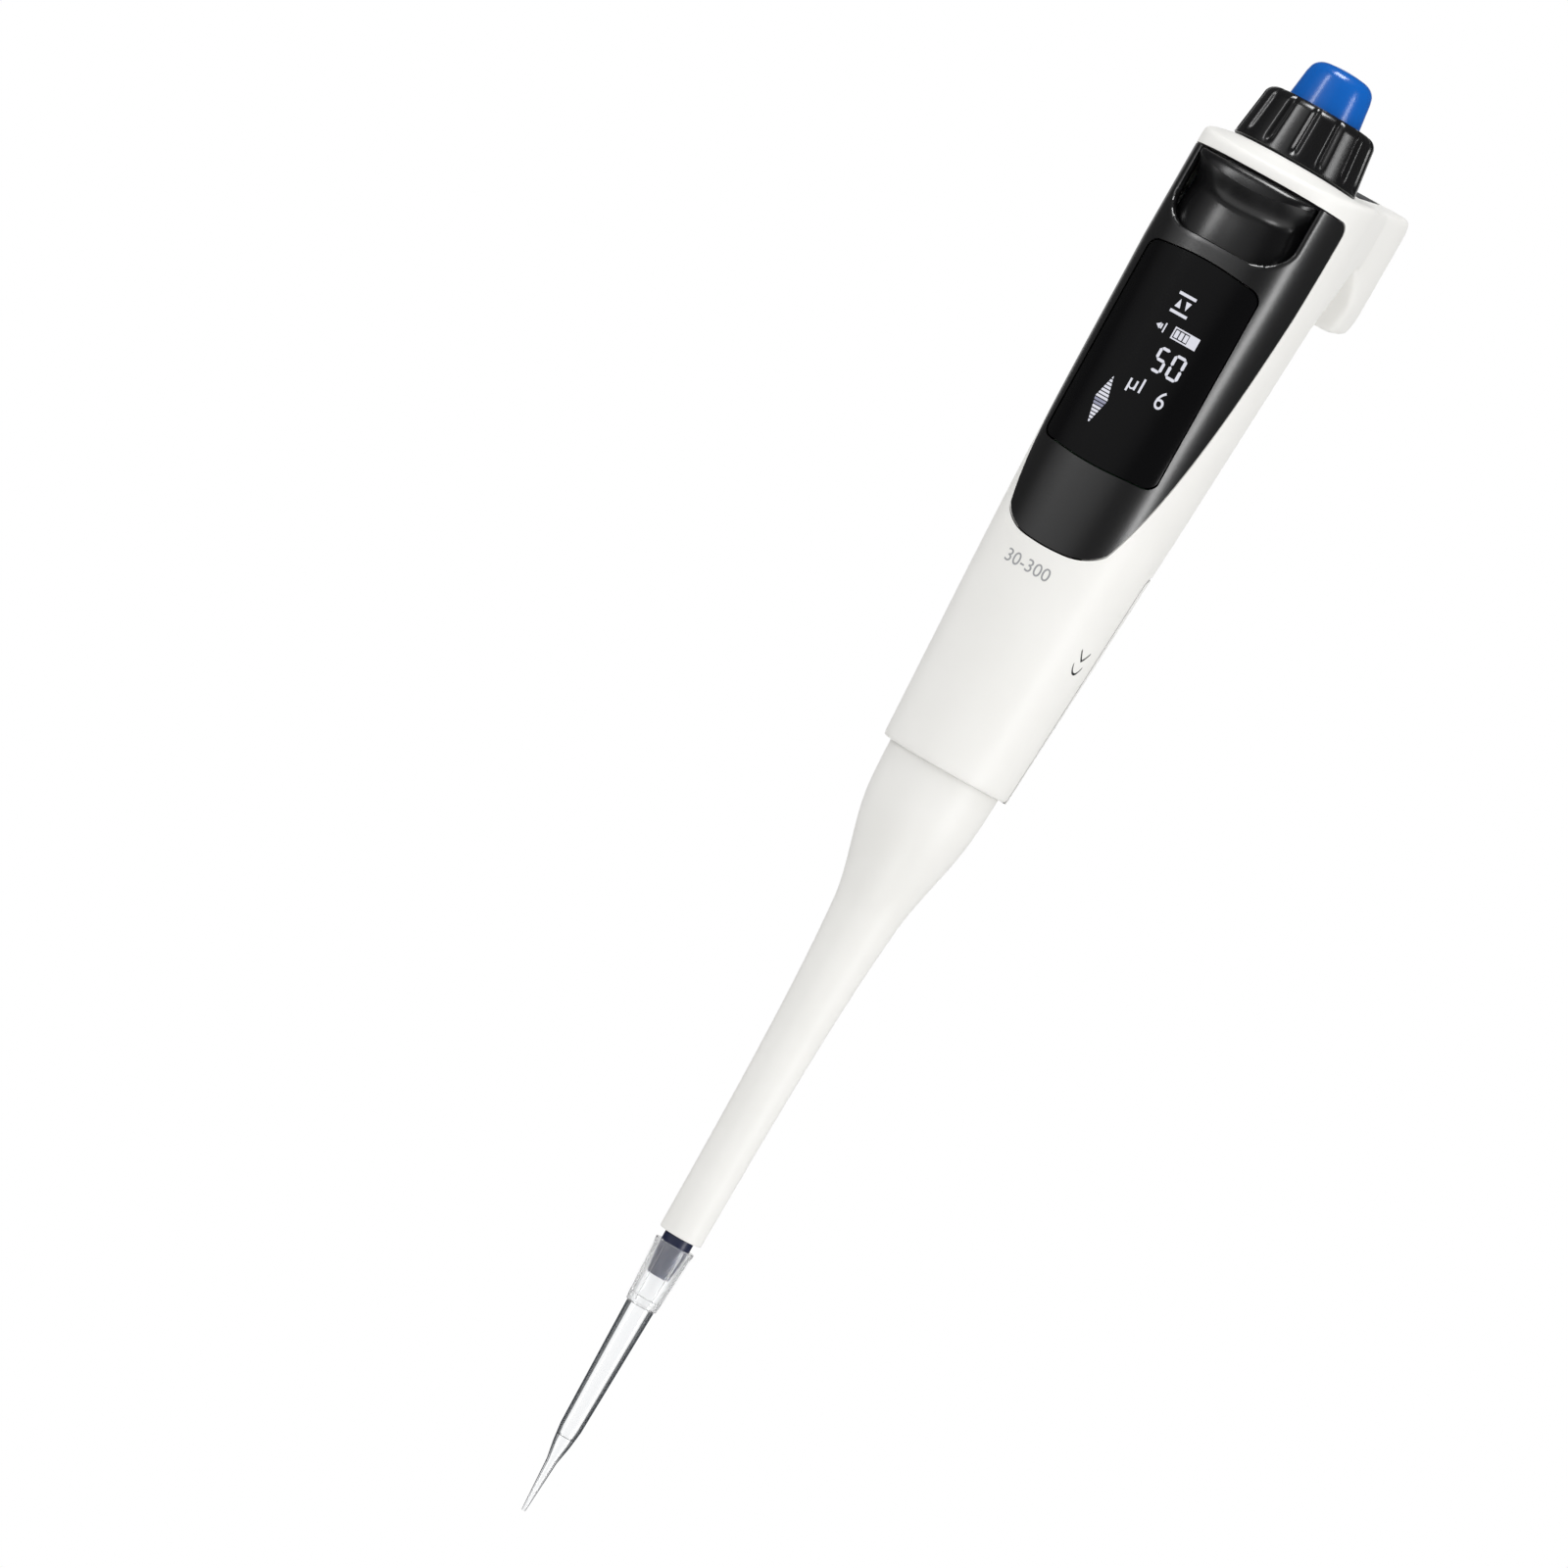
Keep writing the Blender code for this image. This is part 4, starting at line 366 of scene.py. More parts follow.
# %% [markdown]
# ### The plastics
# The casing is white ABS from a finely etched mould: bright, satin, no sharp reflections. The panel, window
# and knob are black, and differ only in gloss. The button is a clear blue with a gloss of its own. The last
# number of each is the strength of its reflection, which sets how much of the room a black piece shows.

# %% Plastics
WHITE = moulded("white_satin_abs", ("F1F0EC", "F6F5F2"), (0.36, 0.46), 0.25, 0.004, 0.22)
PANEL_BLACK = moulded("gloss_black_pmma", ("121213", "161617"), (0.26, 0.32), 0.4, 0.0008, 0.8)
WINDOW_BLACK = moulded("smoked_display_window", ("0C0C0D", "0F0F10"), (0.12, 0.16), 0.5, 0.0004, 0.14)
KNOB_BLACK = moulded("semi_gloss_black_abs", ("0F0F10", "131314"), (0.24, 0.28), 0.2, 0.0005, 0.55)
KEY_BLACK = moulded("satin_black_abs", ("101011", "141415"), (0.22, 0.27), 0.2, 0.0005, 0.42)
BLUE = moulded("gloss_blue_abs", ("005CB6", "0464C2"), (0.2, 0.24), 0.3, 0.0003, 0.4)
NAVY = moulded("navy_polypropylene", ("1B2240", "232B4A"), (0.3, 0.4), 0.2, 0.003, 0.5)
GREY = moulded("grey_glass_filled_nylon", ("6C6E70", "7A7C7E"), (0.5, 0.62), 0.2, 0.008, 0.4)
DARK = moulded("black_acetal", ("1A1A1B", "222223"), (0.4, 0.5), 0.2, 0.004, 0.4)
INLAY_GREY = moulded("dark_grey_hook_pad", ("3A3B3D", "444547"), (0.6, 0.72), 0.3, 0.012, 0.4)
# Black rubber, which also paints the shade in the rear cover's seam.
RUBBER_AND_SEAM_SHADE = moulded("black_rubber_and_seam_shade", ("161616", "1D1D1D"), (0.6, 0.75), 0.3, 0.01, 0.35)
WRAP = moulded("blue_shrink_wrap", ("2F5C9E", "3A6AB0"), (0.3, 0.4), 0.5, 0.006, 0.45)
SOLDER_MASK = moulded("green_solder_mask", ("0F4D2A", "146034"), (0.35, 0.5), 0.4, 0.006, 0.5)

# %% [markdown]
# ### The metals
# A metal's colour is in its reflection. Turned steel has fine rings round its axis and drawn wire has lines
# along it, but at this size both only widen the highlight, so a fine grain in the roughness does it.

# %% Metals
def metal(name, tones, roughness, grain, relief):
    return moulded(name, tones, roughness, grain, relief, metallic=1.0)


STEEL = metal("turned_stainless_steel", ("C3C4C6", "CFD0D1"), (0.22, 0.34), 0.1, 0.001)
BRIGHT_STEEL = metal("ground_steel_rod", ("D0D1D2", "D9DADA"), (0.1, 0.18), 0.1, 0.0005)
DARK_STEEL = metal("oxided_magnet_steel", ("5B5C60", "696A6E"), (0.35, 0.5), 0.2, 0.002)
BRASS = metal("machined_brass", ("C9A35A", "D6B26A"), (0.24, 0.36), 0.1, 0.001)
COPPER = metal("enamelled_copper_winding", ("B4683B", "C67C4A"), (0.3, 0.45), 0.3, 0.02)

# %% [markdown]
# ## The handle's form
# The casing, the panel, the window and the rear cover are all parts of one skin: a rounded square at the
# head that turns into a circle at the foot, and leans forward a little in the grip. So its width, depth,
# middle and squareness are four curves over height, and every piece of it is cut from the same loft.

# %% The handle's skin
SKIN_SIDES = 192
CORE_SIDES = 96
FORM_SIDES = 128
HANDLE_STATIONS = (
    (HEAD_HALF_WIDTH, GRIP_RADIUS, HANDLE_END_RADIUS), (HEAD_HALF_DEPTH, GRIP_RADIUS, HANDLE_END_RADIUS),
    (0.0, -GRIP_FORWARD, -HANDLE_END_FORWARD), (HEAD_SQUARENESS, GRIP_SQUARENESS, 2.0),
)


def handle_at(z):
    """The skin's half width, half depth, middle and squareness at a height."""
    return [
        through([(HEAD_LOW_Z, head), (GRIP_Z, grip), (HANDLE_END_Z, end)], z)
        for head, grip, end in HANDLE_STATIONS
    ]


def ring(half_x, half_y, centre_y, squareness, z, sides=FORM_SIDES):
    return [Vector((p.x, p.y, z)) for p in superellipse(half_x, half_y, centre_y, squareness, sides)]


def handle_ring(z, inset=0.0, sides=SKIN_SIDES):
    half_width, half_depth, centre_y, squareness = handle_at(z)
    return ring(half_width - inset, half_depth - inset, centre_y, squareness, z, sides)


def handle_front_y(x, z, inset=0.0):
    """The y of the handle's front skin at x, for a skin set in by inset."""
    half_width, half_depth, centre_y, squareness = handle_at(z)
    share = min(abs(x) / (half_width - inset), 1.0)
    return centre_y - (half_depth - inset) * (1 - share ** squareness) ** (1 / squareness)


def wall_at(z):
    """The casing's wall thins towards its end, to leave room for the sleeve."""
    end_wall = HANDLE_END_RADIUS - SLEEVE_TOP_RADIUS - GAP
    share = smooth_step((GRIP_Z - z) / (GRIP_Z - SLEEVE_TOP_Z))
    return SHELL_WALL + (end_wall - SHELL_WALL) * share


def casing_skin(name, top, bottom=HANDLE_END_Z, inset=0.0, spacing=1.5 * MM):
    return lofted(name, [handle_ring(z, inset) for z in reversed(heights(top, bottom, spacing))])


def casing_core(name, top=HEAD_CEILING_Z):
    levels = reversed(heights(top, HANDLE_END_Z - OVERRUN, 4 * MM))
    return lofted(name, [handle_ring(z, wall_at(z), CORE_SIDES) for z in levels])


print("the skin's half width at the grip:", round(1000 * handle_at(GRIP_Z)[0], 2), "mm")

# %% [markdown]
# ## Head and finger hook
# The hook grows out of the head in one moulding, so there is no seam or sharp corner between them. Its sides
# flare out into the head, and a web runs down behind it. Joining two forms leaves a hard crease. Here the
# joined form is remeshed in small cubes and smoothed, which melts the crease into a fillet, and only then
# are the sharp openings cut into it.

# %% Sizes of the head's top and hook
HOOK_REACH = 46.5 * MM
HOOK_HALF_WIDTH = 13.6 * MM
HOOK_FLARE = 3.8 * MM
HOOK_FLARE_LENGTH = 28 * MM
HOOK_TIP_HALF_WIDTH = 10.9 * MM
HOOK_TAPER_Z = 5 * MM
HOOK_TIP_CORNER = 3 * MM
HOOK_ROOT_Y = 2 * MM
HOOK_WEB_Z = -22 * MM
HOOK_SEAT_NEAR_Y = 20.5 * MM
HOOK_SEAT_FAR_Y = 25 * MM
HOOK_TIP_Z = -12.6 * MM
HOOK_TIP_THICKNESS = 7.0 * MM
HOOK_TIP_SLANT = 1.6 * MM
HOOK_TOP_ROUNDING = 6 * MM
HOOK_BACK_ROUNDING = 20 * MM
HOOK_HOLLOW_ROUNDING = 12 * MM
HOOK_PLAN_SQUARENESS = 5.5
CREST_EDGE = ((0.0, 1.0), (0.08, 0.6), (0.3, 0.3), (0.6, 0.08), (1.0, 0.0))


def crest_z(y):
    """The head's upper edge, seen from the side."""
    if y < CREST_SIDE_Y:
        share = (y + HEAD_HALF_DEPTH) / (CREST_SIDE_Y + HEAD_HALF_DEPTH)
        return CREST_FRONT_Z + (CREST_SIDE_Z - CREST_FRONT_Z) * share
    share = (y - CREST_SIDE_Y) / (CREST_HOOK_Y - CREST_SIDE_Y)
    return CREST_SIDE_Z + (CREST_HOOK_Z - CREST_SIDE_Z) * share


# %% The head's outer form
def head_body():
    """The handle up to its crest, whose edge is rounded in (inset, drop) steps, and the knob's platform."""
    band_z = CREST_FRONT_Z - 2 * CREST_ROUNDING
    rings = [handle_ring(z, sides=FORM_SIDES) for z in reversed(heights(band_z, HANDLE_END_Z, 2 * MM))]
    for inset, drop in CREST_EDGE:
        rings.append([
            Vector((p.x, p.y, crest_z(p.y) - drop * CREST_ROUNDING))
            for p in handle_ring(HEAD_CEILING_Z, inset * CREST_ROUNDING, FORM_SIDES)
        ])
    rings.append(ring(PLATFORM_RADIUS, PLATFORM_RADIUS, 0.0, 2.0, PLATFORM_Z))
    return lofted("casing", rings)


def hook_body():
    """The hook's side view pushed across, trimmed to its plan and to its front view."""
    tip_inner = HOOK_REACH - HOOK_TIP_THICKNESS - 1.0 * MM
    side = filleted([
        (HOOK_ROOT_Y, crest_z(HOOK_ROOT_Y) - 0.6 * MM, 0),
        (CREST_HOOK_Y, CREST_HOOK_Z, HOOK_TOP_ROUNDING),
        (HOOK_REACH - 1.2 * MM, CREST_HOOK_Z - 2.5 * MM, 5 * MM),
        (HOOK_REACH, 0.0, HOOK_BACK_ROUNDING),
        (HOOK_REACH - 0.6 * MM, HOOK_TIP_Z + HOOK_TIP_SLANT, 2.2 * MM),
        (tip_inner, HOOK_TIP_Z, 1.2 * MM),
        (HOOK_SEAT_FAR_Y + 6 * MM, -3.6 * MM, HOOK_HOLLOW_ROUNDING),
        (HOOK_SEAT_FAR_Y, 0.0, 2 * MM),
        (HOOK_SEAT_NEAR_Y, 0.0, 1.6 * MM),
        (HEAD_HALF_DEPTH - 0.4 * MM, -3.4 * MM, 0),
        (HOOK_ROOT_Y, HOOK_WEB_Z, 0),
    ])
    hook = prism("hook_form", side, "X", -HEAD_HALF_WIDTH, HEAD_HALF_WIDTH)
    edge = []
    steps = 24
    for index in range(steps):
        y = HOOK_ROOT_Y - OVERRUN + (HOOK_SEAT_FAR_Y - HOOK_ROOT_Y + OVERRUN) * index / steps
        flare = HOOK_FLARE * (1 - smooth_step((y - HOOK_ROOT_Y) / HOOK_FLARE_LENGTH))
        edge.append((HOOK_HALF_WIDTH + flare, y))
    reach = HOOK_REACH - HOOK_SEAT_FAR_Y + 0.4 * MM
    arc_steps = 40
    for index in range(arc_steps):
        angle = math.pi / 2 * index / arc_steps
        edge.append((
            HOOK_HALF_WIDTH * math.cos(angle) ** (2 / HOOK_PLAN_SQUARENESS),
            HOOK_SEAT_FAR_Y + reach * math.sin(angle) ** (2 / HOOK_PLAN_SQUARENESS),
        ))
    plan = edge + [(0.0, HOOK_SEAT_FAR_Y + reach)] + [(-x, y) for x, y in reversed(edge)]
    top = CREST_HOOK_Z + OVERRUN
    combine(hook, prism("hook_plan", plan, "Z", HOOK_WEB_Z - OVERRUN, top), "INTERSECT")
    taper = filleted(mirrored([
        (HOOK_TIP_HALF_WIDTH, HOOK_TIP_Z, HOOK_TIP_CORNER),
        (HEAD_HALF_WIDTH, HOOK_TAPER_Z, HOOK_BACK_ROUNDING), (HEAD_HALF_WIDTH, top, 0),
    ]))
    root = rectangle(-HEAD_HALF_WIDTH, HEAD_HALF_WIDTH, HOOK_WEB_Z - OVERRUN, top)
    front_view = prism("hook_front_view", taper, "Y", HOOK_ROOT_Y - OVERRUN, HOOK_REACH + OVERRUN)
    root_view = prism("hook_root_view", root, "Y", HOOK_ROOT_Y - 2 * OVERRUN, HEAD_HALF_DEPTH)
    combine(front_view, root_view, "UNION")
    combine(hook, front_view, "INTERSECT")
    return hook


# %% Melt head and hook together
VOXEL = 0.6 * MM
MELT_FROM_Y = 15 * MM
MELT_FADE = 8 * MM


def melt(obj):
    """One even skin over the joined form; the hook's edges are smoothed most."""
    remesh = obj.modifiers.new("even_skin", "REMESH")
    remesh.mode = "VOXEL"
    remesh.voxel_size = VOXEL
    settle(obj, ALL_SMOOTH)
    group = obj.vertex_groups.new(name="hook")
    for vert in obj.data.vertices:
        group.add([vert.index], smooth_step((vert.co.y - MELT_FROM_Y) / MELT_FADE), "REPLACE")
    for name, rounds, where in (("smooth_all", 5, ""), ("smooth_hook", 14, "hook")):
        smooth = obj.modifiers.new(name, "SMOOTH")
        smooth.factor = 0.5
        smooth.iterations = rounds
        smooth.vertex_group = where
    settle(obj, ALL_SMOOTH)
    obj.vertex_groups.clear()


casing = head_body()
combine(casing, hook_body(), "UNION")
melt(casing)
print("casing, melted:", len(casing.data.polygons), "faces")

# %% [markdown]
# ## Openings in the casing
# The casing is hollow and has a pocket for the panel, an opening for the rear cover, a shallow pocket for the
# dark grey pad on the hook and a recess for the knob. They are cut last, so that their rims stay crisp.

# %% Sizes of the openings
INLAY_NEAR_Y = 19 * MM
INLAY_LENGTH = 20 * MM
INLAY_HALF_WIDTH = 7.5 * MM
INLAY_THICKNESS = 1.0 * MM
INLAY_SUNK = 0.1 * MM
INLAY_CORNER = 2.5 * MM
INLAY_FAR_CORNER = 6 * MM

PANEL_TOP_Z = 5.3 * MM
PANEL_LENGTH = 82.1 * MM
PANEL_EDGE_Y = -5.0 * MM
PANEL_SWEEP = 9.8 * MM
PANEL_CORNER = 2.7 * MM
PANEL_FOOT_HALF_WIDTH = 10.8 * MM
PANEL_FOOT_CORNER = 10 * MM
PANEL_FOOT_BULGE = 1.0 * MM
PANEL_FOOT_FLARE = 32 * MM
PANEL_FOOT_ROUNDING = 40 * MM

COVER_TOP_Z = -72 * MM
COVER_EDGE_Y = 0.6 * MM
COVER_CORNER = 3.0 * MM
SEAM_GAP = 0.5 * MM
FRONT_CUT_Y = -2 * MM
KNOB_RECESS_RADIUS = PLATFORM_RADIUS - 0.1 * MM


def inlay_outline(grow):
    half = INLAY_HALF_WIDTH + grow
    near = INLAY_NEAR_Y - grow
    far = INLAY_NEAR_Y + INLAY_LENGTH + grow
    return filleted([
        (-half, near, INLAY_CORNER), (half, near, INLAY_CORNER),
        (half, far, INLAY_FAR_CORNER), (-half, far, INLAY_FAR_CORNER),
    ])


def inlay_slab(name, below, above, grow):
    """A slab along the hook's sloping top, from below to above its surface, with the inlay's plan."""
    near = INLAY_NEAR_Y - 2 * OVERRUN
    far = INLAY_NEAR_Y + INLAY_LENGTH + 2 * OVERRUN
    side = [
        (near, crest_z(near) + below), (far, crest_z(far) + below),
        (far, crest_z(far) + above), (near, crest_z(near) + above),
    ]
    slab = prism(name, side, "X", -HEAD_HALF_WIDTH, HEAD_HALF_WIDTH)
    combine(slab, prism(name + "_plan", inlay_outline(grow), "Z", 0, CREST_HOOK_Z + 4 * OVERRUN), "INTERSECT")
    return slab


def panel_edge_y(z):
    share = (PANEL_TOP_Z - z) / PANEL_LENGTH
    return PANEL_EDGE_Y - PANEL_SWEEP * share * share


def panel_side_outline(grow):
    """The panel from the side: forward of its swept edge."""
    foot = PANEL_TOP_Z - PANEL_LENGTH - OVERRUN
    far = -HEAD_HALF_DEPTH - OVERRUN
    swept = [
        (panel_edge_y(z) + grow, z, 0)
        for z in heights(PANEL_TOP_Z - 2 * PANEL_CORNER, foot, 2 * MM)
    ]
    top = [(far, PANEL_TOP_Z + grow, 0), (PANEL_EDGE_Y + grow, PANEL_TOP_Z + grow, PANEL_CORNER)]
    return filleted(top + swept + [(far, foot, 0)])


def panel_front_outline(grow):
    """The panel from the front: open upwards, with a rounded foot."""
    foot = PANEL_TOP_Z - PANEL_LENGTH - grow
    corner_x = PANEL_FOOT_HALF_WIDTH + grow
    wide = HEAD_HALF_WIDTH + OVERRUN
    return filleted([(0.0, foot, PANEL_FOOT_ROUNDING)] + mirrored([
        (corner_x, foot + PANEL_FOOT_BULGE, PANEL_FOOT_CORNER),
        (wide + grow, foot + PANEL_FOOT_FLARE, 0),
        (wide, PANEL_TOP_Z + OVERRUN, 0),
    ]))


def front_prism(name, outline):
    return prism(name, outline, "Y", -HEAD_HALF_DEPTH - OVERRUN, FRONT_CUT_Y)


def side_prism(name, outline):
    wide = HEAD_HALF_WIDTH + OVERRUN
    return prism(name, outline, "X", -wide, wide)


def cover_outline(grow):
    edge = COVER_EDGE_Y + GAP - grow
    top = COVER_TOP_Z - GAP + grow
    far = HEAD_HALF_DEPTH + OVERRUN
    foot = HANDLE_END_Z - OVERRUN
    return filleted([(edge, foot, 0), (far, foot, 0), (far, top, 0), (edge, top, COVER_CORNER)])


# %% Cut the casing
def plug(name, radius, top, bottom, steps=128):
    return turned(name, [(0.0, top), (radius, top), (radius, bottom), (0.0, bottom)], steps, bored=False)


pocket = side_prism("pocket_side", panel_side_outline(GAP))
combine(pocket, front_prism("pocket_front", panel_front_outline(GAP)), "INTERSECT")
for opening in (
    casing_core("casing_hollow"), pocket, side_prism("cover_opening", cover_outline(SEAM_GAP)),
    inlay_slab("inlay_pocket", -INLAY_THICKNESS - GAP, 2 * OVERRUN, GAP),
    plug("knob_recess", KNOB_RECESS_RADIUS, CREST_HOOK_Z, PLATFORM_Z),
    plug("shaft_hole", SHAFT_HOLE_RADIUS, PLATFORM_Z + OVERRUN, HEAD_CEILING_Z - OVERRUN, 48),
):
    combine(casing, opening, "DIFFERENCE")
print("casing, cut:", len(casing.data.polygons), "faces")


# %% Dress a piece
def dress(obj, surface, body, slot, *nodes):
    """Gives a finished piece its material and its body, and hides the solids that it stands for. The slot is
    not used.
    """
    obj.data.materials.clear()
    obj.data.materials.append(surface)
    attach(obj, body)
    if nodes:
        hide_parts(*nodes)
    return obj


dress(casing, WHITE, "handle", "white_casing", "handle_shell")

# %% [markdown]
# ## Front panel and display window
# The panel is a thin glossy cover glued into its pocket, and the window a clear plate over the display, dyed
# so dark that only lit marks show. Both are cut from the same skin as the casing, so their reflections run
# on from piece to piece as on the real one. Round the key's slot the panel's skin rolls inwards.

# %% Sizes of the window and key slot
WINDOW_TOP_Z = -15.0 * MM
WINDOW_BOTTOM_Z = -57.6 * MM
WINDOW_HALF_WIDTH = 12.6 * MM
WINDOW_CORNER = 2.4 * MM
WINDOW_BULGE = 1.2 * MM
WINDOW_ROUNDING = 60 * MM
WINDOW_THICKNESS = 1.0 * MM
WINDOW_INSET = 0.2 * MM
KEY_HALF_WIDTH = 13.0 * MM
KEY_SLOT_FOOT_Z = -10.4 * MM
KEY_SLOT_CORNER = 6.5 * MM


def key_slot_outline():
    half = KEY_HALF_WIDTH + GAP
    foot = KEY_SLOT_FOOT_Z
    top = PANEL_TOP_Z + OVERRUN
    return filleted([
        (-half, foot, KEY_SLOT_CORNER), (half, foot, KEY_SLOT_CORNER), (half, top, 0), (-half, top, 0),
    ])


def window_outline(grow):
    half = WINDOW_HALF_WIDTH + grow
    top = WINDOW_TOP_Z + grow
    bottom = WINDOW_BOTTOM_Z - grow
    return filleted([
        (-half, bottom, WINDOW_CORNER), (0.0, bottom - WINDOW_BULGE, WINDOW_ROUNDING),
        (half, bottom, WINDOW_CORNER), (half, top, WINDOW_CORNER),
        (0.0, top + WINDOW_BULGE, WINDOW_ROUNDING), (-half, top, WINDOW_CORNER),
    ])


# %% The panel
RIM_ROLL = 1.3 * MM
RIM_ROLL_AT_FOOT = 0.35
ON_SKIN = 0.2 * MM
ROLL_SHARP_FROM = 50


def slot_distance(x, z):
    """How far a point of the panel lies outside the key slot."""
    corner_z = KEY_SLOT_FOOT_Z + KEY_SLOT_CORNER
    half = KEY_HALF_WIDTH + GAP
    if z > corner_z:
        return abs(x) - half
    return math.hypot(max(abs(x) - half + KEY_SLOT_CORNER, 0.0), corner_z - z) - KEY_SLOT_CORNER


def roll_rim(obj):
    """Rolls the panel's front skin into the key slot over a quarter circle, smaller at the slot's foot."""
    for vert in obj.data.vertices:
        x, y, z = vert.co
        away = slot_distance(x, z)
        up = smooth_step((z - KEY_SLOT_FOOT_Z) / KEY_SLOT_CORNER)
        roll = RIM_ROLL * (RIM_ROLL_AT_FOOT + (1 - RIM_ROLL_AT_FOOT) * up)
        if away < roll and abs(y - handle_front_y(x, z)) < ON_SKIN:
            share = 1 - max(away, 0.0) / roll
            drop = roll * (1 - math.sqrt(1 - share * share))
            vert.co.y = handle_front_y(x, z, drop)
    obj.data.update()
    obj.data.set_sharp_from_angle(angle=math.radians(ROLL_SHARP_FROM))


panel = casing_skin(
    "panel", PANEL_TOP_Z + OVERRUN, PANEL_TOP_Z - PANEL_LENGTH - OVERRUN, spacing=0.5 * MM,
)
combine(panel, casing_core("panel_hollow", PANEL_TOP_Z + 2 * OVERRUN), "DIFFERENCE")
combine(panel, side_prism("panel_side", panel_side_outline(0.0)), "INTERSECT")
combine(panel, front_prism("panel_front", panel_front_outline(0.0)), "INTERSECT")
combine(panel, front_prism("panel_key_slot", key_slot_outline()), "DIFFERENCE")
combine(panel, front_prism("panel_window_hole", window_outline(GAP)), "DIFFERENCE")
roll_rim(panel)
dress(panel, PANEL_BLACK, "handle", "gloss_black", "front_panel")
print("panel:", len(panel.data.polygons), "faces")

# %% The window
window_top = WINDOW_TOP_Z + 2 * OVERRUN
window_low = WINDOW_BOTTOM_Z - 2 * OVERRUN
window = casing_skin("window", window_top, window_low, WINDOW_INSET)
back_inset = WINDOW_INSET + WINDOW_THICKNESS
back = casing_skin("window_back", window_top + OVERRUN, window_low - OVERRUN, back_inset)
combine(window, back, "DIFFERENCE")
combine(window, front_prism("window_edge", window_outline(0.0)), "INTERSECT")
dress(window, WINDOW_BLACK, "handle", "display_black", "display_window")
print("window:", len(window.data.polygons), "faces")

# %% [markdown]
# ## Rear cover and hook pad
# The rear cover slides down off the battery, so only a thin seam shows. It is cut from the casing's skin by
# the same outline as its opening. A thin black strip rides on it and fills the seam, a little below the skin,
# as painted shade that makes the seam dark. The pad on the hook is a dark grey insert, level with the white
# round it.

# %% The rear cover, the painted seam shade and the pad
# The black strip in the cover's seam is painted shade: its depth below the skin, its thickness and its room.
SEAM_SHADE_SUNK = 0.25 * MM
SEAM_SHADE_THICKNESS = 0.75 * MM
SEAM_SHADE_ROOM = 0.08 * MM

cover = casing_skin("rear_cover", COVER_TOP_Z + OVERRUN)
combine(cover, casing_core("cover_hollow"), "DIFFERENCE")
combine(cover, side_prism("cover_trim", cover_outline(0.0)), "INTERSECT")
dress(cover, WHITE, "rear_cover", "white_casing", "battery_cover")

# Painted shade: a thin black strip sunk in the seam round the cover.
seam_shade = casing_skin("cover_seam_shade", COVER_TOP_Z + OVERRUN, inset=SEAM_SHADE_SUNK)
inner = casing_skin(
    "seam_shade_hollow", COVER_TOP_Z + 2 * OVERRUN, HANDLE_END_Z - OVERRUN, SEAM_SHADE_SUNK + SEAM_SHADE_THICKNESS,
)
combine(seam_shade, inner, "DIFFERENCE")
combine(seam_shade, side_prism("seam_shade_outside", cover_outline(SEAM_GAP - SEAM_SHADE_ROOM)), "INTERSECT")
combine(seam_shade, side_prism("seam_shade_inside", cover_outline(SEAM_SHADE_ROOM)), "DIFFERENCE")
dress(seam_shade, RUBBER_AND_SEAM_SHADE, "rear_cover", "grey_plastic")

pad = inlay_slab("hook_pad", -INLAY_THICKNESS, -INLAY_SUNK, 0.0)
soften_edges(pad, width=0.3 * MM, angle=50, segments=3)
dress(pad, INLAY_GREY, "handle", "grey_plastic", "hook_inlay")
print("rear cover:", len(cover.data.polygons), "faces, pad:", len(pad.data.polygons), "faces")

# %% [markdown]
# ## Ejector key
# The key is a thumb scoop: a proud lip over a hollow that dives behind the panel. Its face is a grid of
# points, set in or out of the skin by a formula, and extruded backwards into a solid.

# %% Sizes and form of the key
KEY_TOP_Z = 4.9 * MM
KEY_LIP_PROUD = 1.5 * MM
KEY_LIP_Z = 1.8 * MM
KEY_LIP_RISE = 2.2 * MM
KEY_SCOOP_HEIGHT = 5.2 * MM
KEY_SCOOP_EXTRA = 0.7 * MM
KEY_SKIRT_DROP = 2.0 * MM
KEY_SKIRT_WALL = 1.8 * MM
KEY_LIP_ROUNDNESS = 2.4
KEY_END_SHARPNESS = 6
KEY_SHARP_FROM = 60


